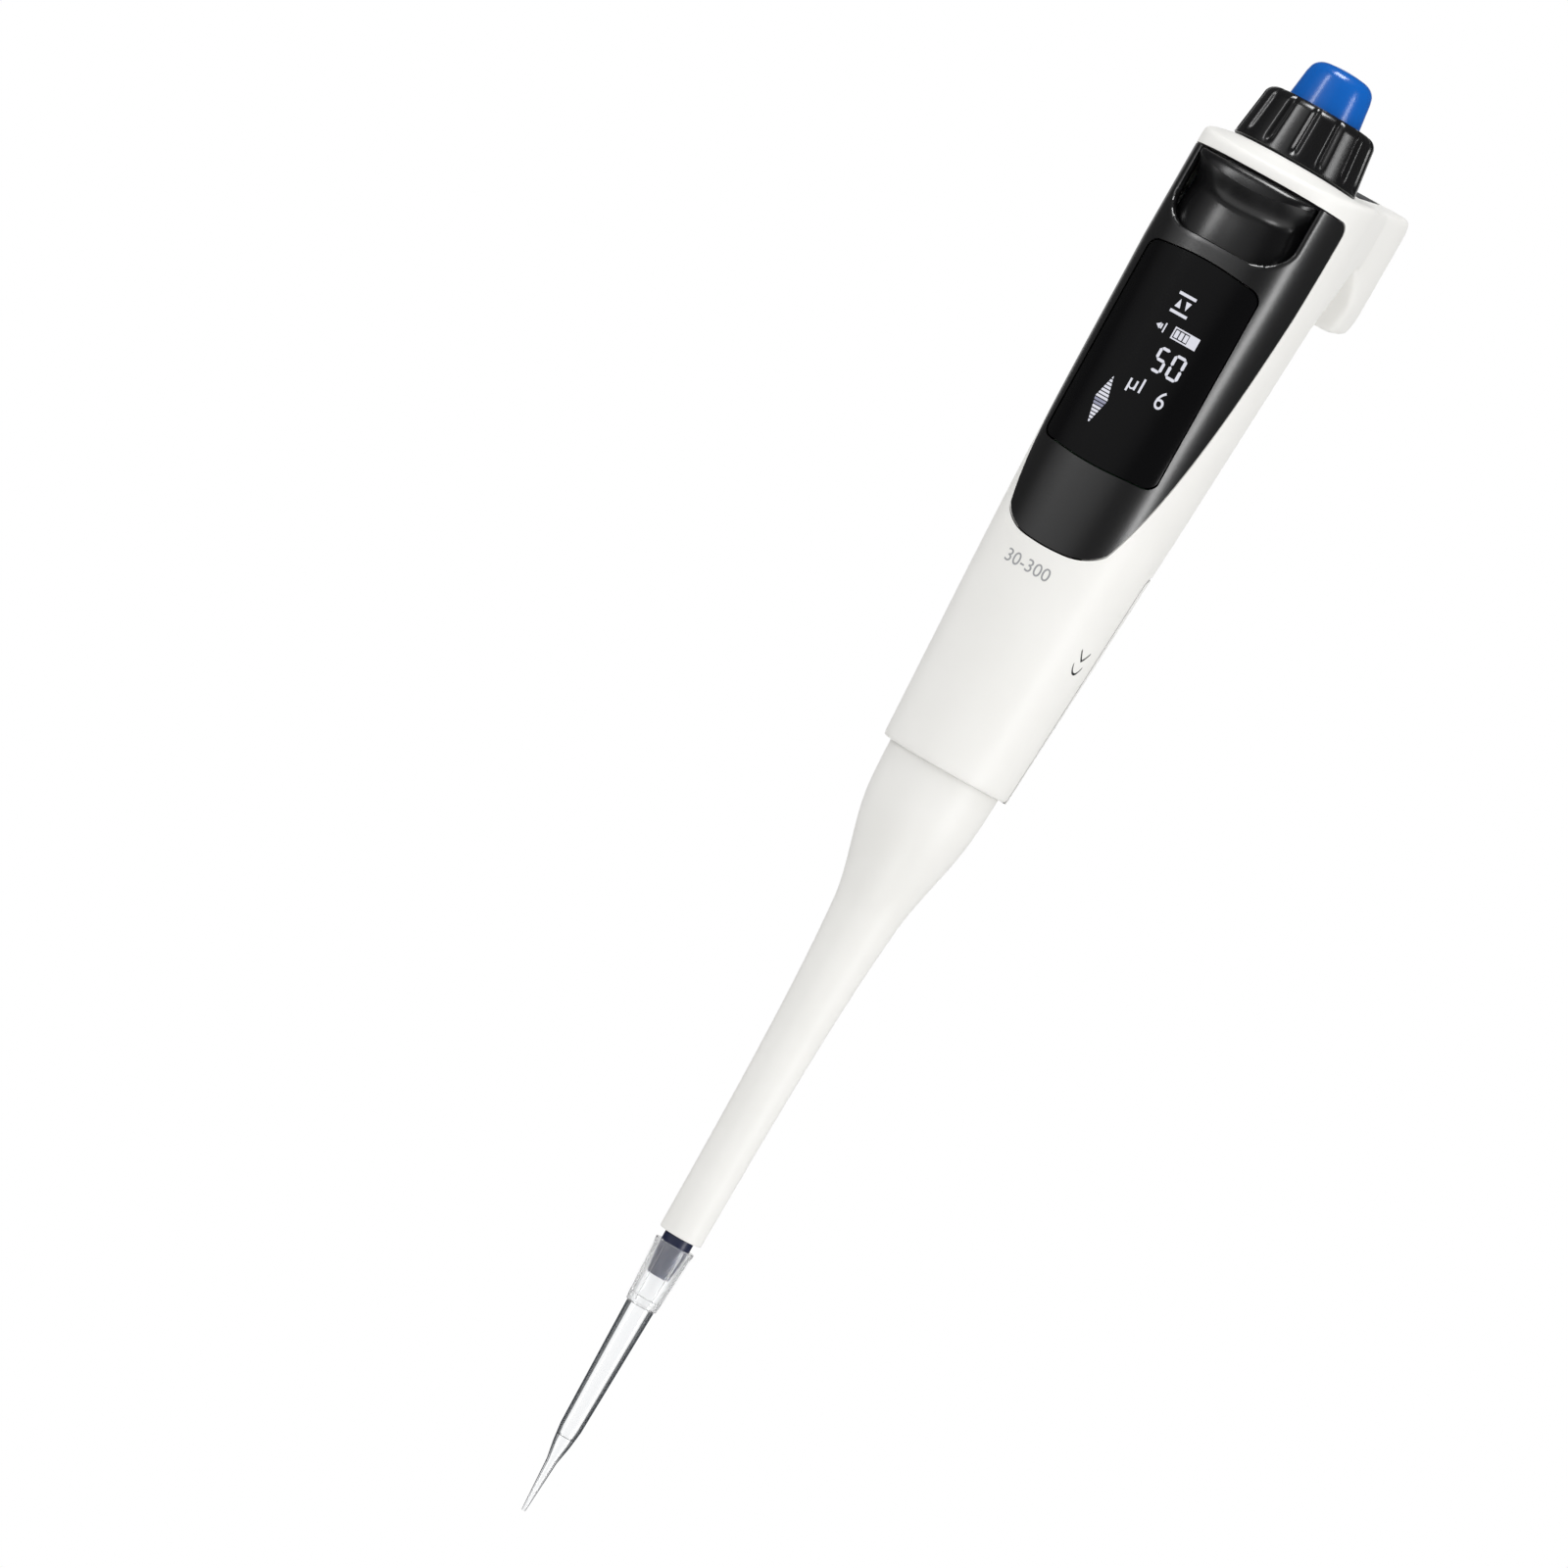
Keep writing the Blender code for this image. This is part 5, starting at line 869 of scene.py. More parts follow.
def key_face():
    """The key's face from its top edge over the lip, down the scoop and to the skirt behind the panel."""
    columns = 64
    lip_rows = 14
    scoop_rows = 26
    skirt_rows = 6
    rows = lip_rows + scoop_rows + skirt_rows
    deep = SHELL_WALL + 2 * GAP
    foot = KEY_SLOT_FOOT_Z - KEY_SKIRT_DROP
    bm = bmesh.new()
    bmesh.ops.create_grid(bm, x_segments=columns, y_segments=rows, size=0.5)
    for vert in list(bm.verts):
        across = vert.co.x * 2
        row = round((0.5 - vert.co.y) * rows)
        x = across * KEY_HALF_WIDTH
        lip_z = KEY_LIP_Z + KEY_LIP_RISE * across ** 2
        edge_share = 1 - abs(across) ** KEY_END_SHARPNESS
        if row <= lip_rows:
            share = row / lip_rows
            z = KEY_TOP_Z + (lip_z - KEY_TOP_Z) * share
            proud = KEY_LIP_PROUD * math.sqrt(1 - (1 - share) ** KEY_LIP_ROUNDNESS) * edge_share
        elif row <= lip_rows + scoop_rows:
            share = (row - lip_rows) / scoop_rows
            z = lip_z - KEY_SCOOP_HEIGHT * share
            lip = KEY_LIP_PROUD * edge_share
            proud = lip - (lip + deep + KEY_SCOOP_EXTRA) * math.sin(math.pi / 2 * share)
        else:
            share = (row - lip_rows - scoop_rows) / skirt_rows
            z = lip_z - KEY_SCOOP_HEIGHT + (foot - lip_z + KEY_SCOOP_HEIGHT) * share
            proud = -deep - KEY_SCOOP_EXTRA * (1 - share) ** 2
        vert.co = (x, handle_front_y(x, HEAD_LOW_Z, -proud), z)
    grown = bmesh.ops.extrude_face_region(bm, geom=list(bm.faces))
    for item in grown["geom"]:
        if isinstance(item, bmesh.types.BMVert):
            item.co.y = handle_front_y(item.co.x, HEAD_LOW_Z, deep + KEY_SKIRT_WALL)
    return add_object("key", bm, KEY_SHARP_FROM)


# %% The key and its arm
ROD_X = -11.5 * MM
ROD_Y = -2.0 * MM
ROD_THICKNESS = 1.2 * MM
ROD_WIDTH = 3.4 * MM
ARM_Z = -8.6 * MM
ARM_THICKNESS = 2.4 * MM
ARM_INNER_X = -7.2 * MM
ARM_SUNK = 0.6 * MM

key = key_face()
arm_front = handle_front_y(ROD_X, HEAD_LOW_Z, SHELL_WALL + 2 * GAP + ARM_SUNK)
arm_plan = rectangle(ROD_X - ROD_THICKNESS / 2, ARM_INNER_X, arm_front, ROD_Y + ROD_WIDTH / 2)
combine(key, prism("key_arm", arm_plan, "Z", ARM_Z - ARM_THICKNESS / 2, ARM_Z + ARM_THICKNESS / 2), "UNION")
dress(key, KEY_BLACK, "ejector", "gloss_black", "ejector_key")
print("key:", len(key.data.polygons), "faces")

# %% [markdown]
# ## Knob and push button
# The knob is turned by thumb and finger, so it has shallow flutes that begin a little above its foot and run
# out over its rounded top. The flutes are a dip in the radius of each ring, and the rings are drawn out into
# a wall. The button is a plain turning: slightly conical sides, a round shoulder and a nearly flat dome.

# %% Sizes of the knob and button
KNOB_BASE_RADIUS = 13.4 * MM
KNOB_TOP_RADIUS = 11.8 * MM
KNOB_HEIGHT = 11.6 * MM
KNOB_CORNER = 2.3 * MM
KNOB_FLUTES = 14
KNOB_FLUTE_DEPTH = 0.75 * MM
KNOB_FOOT_CHAMFER = 0.25 * MM
KNOB_RIM_CHAMFER = 0.3 * MM
KNOB_CORNER_INWARD = 0.9
KNOB_LEVELS = (0.06, 0.1, 0.14, 0.18, 0.24, 0.32, 0.45, 0.6, 0.75, 0.9)
FLUTE_FROM = 0.04
FLUTE_FADE = 0.2
FLUTE_LEFT_AT_TOP = 0.16
BUTTON_BASE_RADIUS = 7.8 * MM
BUTTON_TOP_RADIUS = 6.9 * MM
BUTTON_SHOWING = 9.2 * MM
BUTTON_SHOULDER = 3.2 * MM
BUTTON_SKIRT = 2.6 * MM
BUTTON_WALL = 1.2 * MM
BUTTON_TRAVEL = 2.0 * MM
BUTTON_HOLLOW = 3 * MM
SHAFT_RADIUS = 3.0 * MM

KNOB_BASE_Z = PLATFORM_Z + GAP
KNOB_TOP_Z = KNOB_BASE_Z + KNOB_HEIGHT
KNOB_WELL_Z = KNOB_TOP_Z - BUTTON_SKIRT - BUTTON_TRAVEL - GAP


# %% The knob
def knob_ring(radius, z, depth=0.0, per_flute=24):
    points = []
    for index in range(KNOB_FLUTES * per_flute):
        angle = 2 * math.pi * index / (KNOB_FLUTES * per_flute)
        r = radius - depth * max(0.0, math.cos(KNOB_FLUTES * angle)) ** 3
        points.append(Vector((r * math.cos(angle), r * math.sin(angle), z)))
    return points


def knob_side_radius(z):
    return KNOB_BASE_RADIUS + (KNOB_TOP_RADIUS - KNOB_BASE_RADIUS) * (z - KNOB_BASE_Z) / KNOB_HEIGHT


straight = KNOB_HEIGHT - KNOB_CORNER
rings = [
    knob_ring(KNOB_BASE_RADIUS - KNOB_FOOT_CHAMFER, KNOB_BASE_Z),
    knob_ring(KNOB_BASE_RADIUS, KNOB_BASE_Z + KNOB_FOOT_CHAMFER),
]
for share in KNOB_LEVELS:
    z = KNOB_BASE_Z + share * straight
    depth = KNOB_FLUTE_DEPTH * smooth_step((share - FLUTE_FROM) / FLUTE_FADE)
    rings.append(knob_ring(knob_side_radius(z), z, depth))
corner_steps = 10
for step in range(corner_steps + 1):
    angle = math.pi / 2 * step / corner_steps
    z = KNOB_TOP_Z - KNOB_CORNER * (1 - math.sin(angle))
    inward = KNOB_CORNER * (1 - math.cos(angle)) * KNOB_CORNER_INWARD
    depth = KNOB_FLUTE_DEPTH * (1 - (1 - FLUTE_LEFT_AT_TOP) * step / corner_steps)
    rings.append(knob_ring(knob_side_radius(KNOB_TOP_Z - KNOB_CORNER) - inward, z, depth))
bore = BUTTON_BASE_RADIUS + GAP
shaft_hole = SHAFT_RADIUS + GAP
for radius, z in (
    (bore + KNOB_RIM_CHAMFER, KNOB_TOP_Z), (bore, KNOB_TOP_Z - KNOB_RIM_CHAMFER), (bore, KNOB_WELL_Z),
    (shaft_hole, KNOB_WELL_Z), (shaft_hole, KNOB_BASE_Z),
):
    rings.append(knob_ring(radius, z))
knob = lofted("knob_cap", rings, closed_tube=True)
dress(knob, KNOB_BLACK, "knob", "knob_black", "control_knob")
print("knob:", len(knob.data.polygons), "faces")

# %% The button
BUTTON_FOOT_CHAMFER = 0.2 * MM
BUTTON_BULGE = 0.15 * MM
BUTTON_DOME = 0.35 * MM
SIDE_STEPS = 6
SHOULDER_STEPS = 12
DOME_STEPS = 4

button_top = KNOB_TOP_Z + BUTTON_SHOWING
button_foot = KNOB_TOP_Z - BUTTON_SKIRT
shoulder_z = button_top - BUTTON_SHOULDER
profile = [
    (BUTTON_BASE_RADIUS - BUTTON_FOOT_CHAMFER, button_foot),
    (BUTTON_BASE_RADIUS, button_foot + BUTTON_FOOT_CHAMFER), (BUTTON_BASE_RADIUS, KNOB_TOP_Z),
]
for step in range(1, SIDE_STEPS + 1):
    share = step / SIDE_STEPS
    radius = BUTTON_BASE_RADIUS + (BUTTON_TOP_RADIUS + BUTTON_BULGE - BUTTON_BASE_RADIUS) * share
    profile.append((radius, KNOB_TOP_Z + (shoulder_z - 2 * BUTTON_BULGE - KNOB_TOP_Z) * share))
for step in range(1, SHOULDER_STEPS + 1):
    angle = math.pi / 2 * step / SHOULDER_STEPS
    profile.append((
        BUTTON_TOP_RADIUS - BUTTON_SHOULDER * (1 - math.cos(angle)),
        shoulder_z + (BUTTON_SHOULDER - BUTTON_DOME) * math.sin(angle),
    ))
dome_radius, dome_z = profile[-1]
for step in range(1, DOME_STEPS + 1):
    share = 1 - step / DOME_STEPS
    profile.append((dome_radius * share, dome_z + (button_top - dome_z) * (1 - share ** 2)))
inner_radius = BUTTON_BASE_RADIUS - BUTTON_WALL
ceiling_z = KNOB_TOP_Z + BUTTON_HOLLOW
inside = [(inner_radius, button_foot), (inner_radius, ceiling_z), (0.0, ceiling_z)]
button = turned("button_cap", list(reversed(profile)) + inside, bored=False)
dress(button, BLUE, "button", "button_blue", "push_button")
print("button:", len(button.data.polygons), "faces")

# %% [markdown]
# ## Ejector sleeve
# The lower sleeve slides up and down over the cone and pushes the tip off. It narrows in an S-shaped shoulder
# and then slims along a fading curve, so it is a loft of circles whose radius follows that curve.

# %% The sleeve
SLEEVE_SHOULDER_Z = -133 * MM
SLEEVE_SHOULDER_RADIUS = 11.5 * MM
SLEEVE_NECK_Z = -157.5 * MM
SLEEVE_NECK_RADIUS = 6.75 * MM
SLEEVE_END_Z = -228.4 * MM
SLEEVE_END_RADIUS = 4.55 * MM
SLEEVE_WALL = 1.15 * MM
SLEEVE_END_WALL = 0.85 * MM
SLEEVE_SLIM_LENGTH = 26 * MM
SLEEVE_END_CHAMFER = 0.2 * MM
SHOULDER_STRAIGHT = 0.32


def sleeve_radius(z):
    """A slowly rounding top, a shoulder that is part straight and part S-curve, then a fading curve."""
    if z > SLEEVE_SHOULDER_Z:
        share = (SLEEVE_TOP_Z - z) / (SLEEVE_TOP_Z - SLEEVE_SHOULDER_Z)
        return SLEEVE_TOP_RADIUS + (SLEEVE_SHOULDER_RADIUS - SLEEVE_TOP_RADIUS) * share ** 3
    if z > SLEEVE_NECK_Z:
        share = (SLEEVE_SHOULDER_Z - z) / (SLEEVE_SHOULDER_Z - SLEEVE_NECK_Z)
        curve = smooth_step(share * 0.97 + 0.03)
        return SLEEVE_SHOULDER_RADIUS + (SLEEVE_NECK_RADIUS - SLEEVE_SHOULDER_RADIUS) * (
            SHOULDER_STRAIGHT * share + (1 - SHOULDER_STRAIGHT) * curve
        )
    fade = math.exp(-(SLEEVE_NECK_Z - z) / SLEEVE_SLIM_LENGTH)
    end_fade = math.exp(-(SLEEVE_NECK_Z - SLEEVE_END_Z) / SLEEVE_SLIM_LENGTH)
    return SLEEVE_END_RADIUS + (SLEEVE_NECK_RADIUS - SLEEVE_END_RADIUS) * (fade - end_fade) / (1 - end_fade)


def sleeve_ring(z, inset=0.0):
    share = smooth_step((SLEEVE_SHOULDER_Z - z) / (SLEEVE_SHOULDER_Z - SLEEVE_NECK_Z))
    radius = sleeve_radius(z) - inset
    return ring(radius, radius, -HANDLE_END_FORWARD * (1 - share), 2.0, z)


def sleeve_wall(z):
    share = smooth_step((SLEEVE_NECK_Z - z) / (SLEEVE_NECK_Z - SLEEVE_END_Z))
    return SLEEVE_WALL + (SLEEVE_END_WALL - SLEEVE_WALL) * share


levels = heights(SLEEVE_TOP_Z, SLEEVE_SHOULDER_Z, 2 * MM)[:-1]
levels += heights(SLEEVE_SHOULDER_Z, SLEEVE_NECK_Z, 1 * MM)[:-1]
levels += heights(SLEEVE_NECK_Z, SLEEVE_END_Z + SLEEVE_END_CHAMFER, 3 * MM)
rings = [sleeve_ring(z) for z in levels] + [sleeve_ring(SLEEVE_END_Z, SLEEVE_END_CHAMFER)]
rings += [sleeve_ring(z, sleeve_wall(z)) for z in reversed(levels[:-1] + [SLEEVE_END_Z])]
sleeve = lofted("sleeve", rings, closed_tube=True)
dress(sleeve, WHITE, "ejector", "white_casing", "ejector_sleeve")
print("sleeve:", len(sleeve.data.polygons), "faces")

# %% [markdown]
# ## Cone and tip
# The tip is pressed onto a dark cone. It is clear polypropylene, under a millimetre thick, with a frosted
# collar that has small ribs to grip. A turned wall gives true refraction: the cone shows through it.

# %% The cone
BARREL_END_Z = -165 * MM
CONE_FLANGE_RADIUS = 4.3 * MM
CONE_FLANGE_HEIGHT = 2.0 * MM
CONE_TUBE_RADIUS = 3.2 * MM
CONE_COLLAR_RADIUS = 3.09 * MM
CONE_END_RADIUS = 2.2 * MM
CONE_BORE = 0.8 * MM
CONE_LENGTH_IN_TIP = 6.8 * MM
TIP_GAP = 2.0 * MM
RIM_Z = SLEEVE_END_Z - TIP_GAP

flange_top = BARREL_END_Z - GAP
flange_low = flange_top - CONE_FLANGE_HEIGHT
cone_end = RIM_Z - CONE_LENGTH_IN_TIP
cone = turned("cone", [
    (CONE_BORE, flange_top), (CONE_FLANGE_RADIUS, flange_top), (CONE_FLANGE_RADIUS, flange_low),
    (CONE_TUBE_RADIUS, flange_low - 1.2 * MM), (CONE_TUBE_RADIUS, SLEEVE_END_Z + 2 * MM),
    (CONE_COLLAR_RADIUS, SLEEVE_END_Z + 1 * MM), (CONE_COLLAR_RADIUS, RIM_Z + GAP),
    (CONE_END_RADIUS + 0.5 * MM, RIM_Z - 0.55 * CONE_LENGTH_IN_TIP),
    (CONE_END_RADIUS + 0.2 * MM, cone_end + 0.3 * MM), (CONE_END_RADIUS, cone_end), (CONE_BORE, cone_end),
], 96)
dress(cone, NAVY, "handle", "cone_navy", "nozzle_cone")

# %% Sizes of the tip
TIP_RIM_RADIUS = 4.2 * MM
TIP_RIM_HEIGHT = 0.5 * MM
TIP_FLARE = 1.8 * MM
TIP_COLLAR_TOP_RADIUS = 3.85 * MM
TIP_COLLAR_END_RADIUS = 3.3 * MM
TIP_COLLAR_LENGTH = 13.4 * MM
TIP_STEP = 0.33 * MM
TIP_BODY_LENGTH = 41 * MM
TIP_BODY_END_RADIUS = 2.28 * MM
TIP_SPOUT_BREAK = 48.5 * MM
TIP_SPOUT_RADIUS = 1.12 * MM
TIP_LENGTH = 59.7 * MM
TIP_END_RADIUS = 0.42 * MM
TIP_WALL = 0.55 * MM
TIP_END_WALL = 0.2 * MM
TIP_RIBS = 12
TIP_RIB_PHASE = 0.667
TIP_RIB_THICKNESS = 0.3 * MM
TIP_RIB_ROOT = 0.3 * MM
TIP_LEDGES = (11.6 * MM, 43 * MM)
TIP_LEDGE = 0.12 * MM

# %% Clear plastic
# Polypropylene moulded clear: it bends what is behind it, and its frosted collar turns that into a haze.
# Below the collar a wall seen edge on is darkened by painted shade in its base colour, which stands for its
# light coming from far to the side.
FROST_END_Z = RIM_Z - TIP_COLLAR_LENGTH
FROST_FADE = 0.3 * MM
CLEAR_IOR = 1.49
FLOW_SIZE = 1.5 * MM
FLOW_RELIEF = 0.01 * MM

CLEAR, tree, shader = new_finish("clear_polypropylene")
shader.inputs["IOR"].default_value = CLEAR_IOR
spot = add_node(tree, "ShaderNodeTexCoord").outputs["Object"]
height = add_node(tree, "ShaderNodeSeparateXYZ", links={"Vector": spot}).outputs["Z"]
at_collar = {}
for quality, below, inside in (("roughness", 0.03, 0.16), ("clearness", 1.0, 0.95), ("painted edge shade", 1.0, 0.3)):
    at_collar[quality] = add_node(
        tree, "ShaderNodeMapRange",
        {"From Min": FROST_END_Z - FROST_FADE, "From Max": FROST_END_Z, "To Min": below, "To Max": inside},
        {"Value": height},
    ).outputs["Result"]
flow = add_node(tree, "ShaderNodeTexNoise", {"Scale": 1 / FLOW_SIZE, "Detail": 1.0}, {"Vector": spot})
bump = add_node(
    tree, "ShaderNodeBump", {"Strength": 0.5, "Distance": FLOW_RELIEF}, {"Height": flow.outputs["Fac"]},
)
tone = add_node(
    tree, "ShaderNodeMix", {6: linear("FBFCFD"), 7: linear("FEFEFE")},
    {0: flow.outputs["Fac"]}, data_type="RGBA",
)
# Painted shade: where the wall is seen edge on, its base colour is mixed towards the dark 121518.
grazing = add_node(tree, "ShaderNodeLayerWeight", {"Blend": 0.5})
edge_shade_ramp = add_node(
    tree, "ShaderNodeMapRange", {"From Min": 0.3, "From Max": 0.46}, {"Value": grazing.outputs["Facing"]},
    interpolation_type="SMOOTHSTEP",
)
edge = add_node(
    tree, "ShaderNodeMath", links={0: edge_shade_ramp.outputs["Result"], 1: at_collar["painted edge shade"]},
    operation="MULTIPLY",
)
edge_shaded_tone = add_node(
    tree, "ShaderNodeMix", {7: linear("121518")},
    {0: edge.outputs["Value"], 6: tone.outputs[2]}, data_type="RGBA",
)
for socket, source in (
    ("Base Color", edge_shaded_tone.outputs[2]), ("Roughness", at_collar["roughness"]),
    ("Transmission Weight", at_collar["clearness"]), ("Normal", bump.outputs["Normal"]),
):
    tree.links.new(source, shader.inputs[socket])

# %% The tip
tip_outer = [
    (0.1 * MM, TIP_RIM_RADIUS), (TIP_RIM_HEIGHT, TIP_RIM_RADIUS - 0.05 * MM),
    (TIP_FLARE, TIP_COLLAR_TOP_RADIUS),
    (TIP_COLLAR_LENGTH, TIP_COLLAR_END_RADIUS),
    (TIP_COLLAR_LENGTH + 0.2 * MM, TIP_COLLAR_END_RADIUS - TIP_STEP), (TIP_BODY_LENGTH, TIP_BODY_END_RADIUS),
    ((TIP_BODY_LENGTH + TIP_SPOUT_BREAK) / 2, (TIP_BODY_END_RADIUS + TIP_SPOUT_RADIUS) / 2 + 0.12 * MM),
    (TIP_SPOUT_BREAK, TIP_SPOUT_RADIUS), (TIP_LENGTH, TIP_END_RADIUS),
]
tip_profile = [(TIP_RIM_RADIUS - 0.1 * MM, RIM_Z)] + [(radius, RIM_Z - down) for down, radius in tip_outer]
tip_inner = []
for down, radius in tip_outer[2:]:
    wall = TIP_WALL + (TIP_END_WALL - TIP_WALL) * (down / TIP_LENGTH) ** 2
    tip_inner.append((radius - wall, RIM_Z - down))
for down in TIP_LEDGES:
    place = next(index for index, (radius, z) in enumerate(tip_inner) if z < RIM_Z - down)
    (high_radius, high_z), (low_radius, low_z) = tip_inner[place - 1], tip_inner[place]
    share = (high_z - RIM_Z + down) / (high_z - low_z)
    radius = high_radius + (low_radius - high_radius) * share
    tip_inner[place:place] = [(radius, RIM_Z - down), (radius - TIP_LEDGE, RIM_Z - down - TIP_LEDGE)]
tip_inner[-1] = (TIP_END_RADIUS - TIP_END_WALL, RIM_Z - TIP_LENGTH)
tip_inner.insert(0, (TIP_COLLAR_TOP_RADIUS - TIP_WALL, RIM_Z))
tip = turned("clear_tip", tip_profile + list(reversed(tip_inner)), 96)

rib_outline = filleted([
    (TIP_COLLAR_TOP_RADIUS - TIP_RIB_ROOT, RIM_Z - TIP_RIM_HEIGHT, 0),
    (TIP_RIM_RADIUS, RIM_Z - TIP_RIM_HEIGHT, 0),
    (TIP_COLLAR_END_RADIUS + 0.22 * MM, RIM_Z - TIP_COLLAR_LENGTH + 0.8 * MM, 0.2 * MM),
    (TIP_COLLAR_END_RADIUS - TIP_RIB_ROOT, RIM_Z - TIP_COLLAR_LENGTH + 0.4 * MM, 0),
], 4)
ribs = bmesh.new()
for index in range(TIP_RIBS):
    before = len(ribs.verts)
    corners = [(p.x, -TIP_RIB_THICKNESS / 2, p.y) for p in rib_outline]
    pushed(ribs, corners, (0, TIP_RIB_THICKNESS, 0))
    ribs.verts.ensure_lookup_table()
    around = 2 * math.pi * (index + TIP_RIB_PHASE) / TIP_RIBS
    for vert in ribs.verts[before:]:
        x, y = vert.co.x, vert.co.y
        vert.co.x = x * math.cos(around) - y * math.sin(around)
        vert.co.y = x * math.sin(around) + y * math.cos(around)
combine(tip, add_object("tip_ribs", ribs), "UNION")
dress(tip, CLEAR, "tip", "clear_tip", "pipette_tip")
print("tip:", len(tip.data.polygons), "faces")

# %% [markdown]
# ## Marks
# What shines through the window is light, so its marks are thin lit shapes laid on the window. Printed marks
# are thin too, but plain ink. Each is a flat outline that is cut into narrow strips, bent onto the skin and
# given a hair of thickness. Drawn on a picture they would blur; as shapes they stay sharp.

# %% Lit and printed finishes
def inked(name, colour, glow):
    """Plain ink, or with a glow a mark that only shines."""
    made, tree, shader = new_finish(name)
    spot = add_node(tree, "ShaderNodeTexCoord").outputs["Object"]
    speck = add_node(tree, "ShaderNodeTexNoise", {"Scale": 1 / (0.6 * MM)}, {"Vector": spot})
    tone = add_node(
        tree, "ShaderNodeMix",
        {6: linear(colour), 7: tuple(0.9 * c for c in linear(colour)[:3]) + (1.0,)},
        {0: speck.outputs["Fac"]}, data_type="RGBA",
    )
    shader.inputs["Roughness"].default_value = 0.5
    if glow:
        shader.inputs["Base Color"].default_value = (0, 0, 0, 1)
        shader.inputs["Emission Strength"].default_value = glow
    tree.links.new(tone.outputs[2], shader.inputs["Emission Color" if glow else "Base Color"])
    return made


LIT = inked("lit_display_segment", "E9EAF4", 0.9)
LIT_DIM = inked("dim_display_segment", "A2A4BC", 0.8)
PRINT_GREY = inked("grey_pad_print", "A3A4A6", 0.0)
# Painted shade for the moulded arrows' grooves, laid as a dark flat colour.
GROOVE_SHADE = inked("dark_groove_shade", "18181A", 0.0)


# %% Lay flat shapes on a skin
def lay(name, outlines, place, thickness, strip=0.8 * MM):
    """Bends flat (a, b) outlines onto a skin: place(a, b, lift) gives the point lift above it."""
    bm = bmesh.new()
    for outline in outlines:
        bm.faces.new([bm.verts.new((p[0], p[1], 0.0)) for p in outline])
    low = min(vert.co.x for vert in bm.verts)
    high = max(vert.co.x for vert in bm.verts)
    cut = low + strip
    while cut < high:
        geom = list(bm.verts) + list(bm.edges) + list(bm.faces)
        bmesh.ops.bisect_plane(bm, geom=geom, plane_co=(cut, 0, 0), plane_no=(1, 0, 0))
        cut += strip
    flat = list(bm.verts)
    grown = bmesh.ops.extrude_face_region(bm, geom=list(bm.faces))
    raised = [item for item in grown["geom"] if isinstance(item, bmesh.types.BMVert)]
    for vert in flat:
        vert.co = place(vert.co.x, vert.co.y, -0.5 * thickness)
    for vert in raised:
        vert.co = place(vert.co.x, vert.co.y, 0.5 * thickness)
    return add_object(name, bm)


def on_window(x, z, lift):
    return Vector((x, handle_front_y(x, z, WINDOW_INSET - lift), z))


def on_front(x, z, lift):
    return Vector((x, handle_front_y(x, z, -lift), z))


def scaled(points):
    return [(a * MM, b * MM) for a, b in points]


def box_outline(left, right, top, bottom):
    return scaled(rectangle(left, right, bottom, top))


def letters(body, left, right, top, bottom):
    """Outlines of the built-in plain font, fitted into a box in millimetres."""
    curve = bpy.data.curves.new("letters", "FONT")
    curve.body = body
    curve.resolution_u = 4
    flat = bpy.data.objects.new("letters", curve)
    bpy.context.scene.collection.objects.link(flat)
    shown = flat.evaluated_get(bpy.context.evaluated_depsgraph_get())
    mesh = bpy.data.meshes.new_from_object(shown)
    xs = [vert.co.x for vert in mesh.vertices]
    ys = [vert.co.y for vert in mesh.vertices]
    wide = (right - left) * MM / (max(xs) - min(xs))
    tall = (top - bottom) * MM / (max(ys) - min(ys))
    outlines = []
    for face in mesh.polygons:
        corners = [mesh.vertices[i].co for i in face.vertices]
        outlines.append([
            (left * MM + (c.x - min(xs)) * wide, bottom * MM + (c.y - min(ys)) * tall) for c in corners
        ])
    bpy.data.objects.remove(flat, do_unlink=True)
    bpy.data.curves.remove(curve)
    return outlines


# %% Seven-segment figures
SEGMENTS = {"0": "abcdef", "5": "afgcd"}
SEGMENT_GAP = 0.06


def figure(digit, left, right, top, bottom, stroke):
    """One figure of a seven-segment display, as bars with pointed ends, in millimetres."""
    middle = (top + bottom) / 2
    half = stroke / 2
    lines = {
        "a": ((left, top - half), (right, top - half)), "g": ((left, middle), (right, middle)),
        "d": ((left, bottom + half), (right, bottom + half)),
        "f": ((left + half, middle), (left + half, top)), "e": ((left + half, bottom), (left + half, middle)),
        "b": ((right - half, middle), (right - half, top)),
        "c": ((right - half, bottom), (right - half, middle)),
    }
    outlines = []
    for name in SEGMENTS[digit]:
        (x0, z0), (x1, z1) = lines[name]
        if name in "agd":
            x0, x1 = x0 + half + SEGMENT_GAP, x1 - half - SEGMENT_GAP
            points = [
                (x0, z0), (x0 + half, z0 - half), (x1 - half, z0 - half),
                (x1, z0), (x1 - half, z0 + half), (x0 + half, z0 + half),
            ]
        else:
            z0 = z0 + SEGMENT_GAP + (half if z0 == bottom else 0)
            z1 = z1 - SEGMENT_GAP - (half if z1 == top else 0)
            points = [
                (x0, z0), (x0 + half, z0 + half), (x0 + half, z1 - half),
                (x0, z1), (x0 - half, z1 - half), (x0 - half, z0 + half),
            ]
        outlines.append(scaled(points))
    return outlines


# %% The display's marks
MARK_THICKNESS = 0.06 * MM


def frame_outline(left, right, top, bottom, line):
    """Four thin bars round a box."""
    return [
        box_outline(left, right, top, top - line), box_outline(left, right, bottom + line, bottom),
        box_outline(left, left + line, top - line, bottom + line),
        box_outline(right - line, right, top - line, bottom + line),
    ]


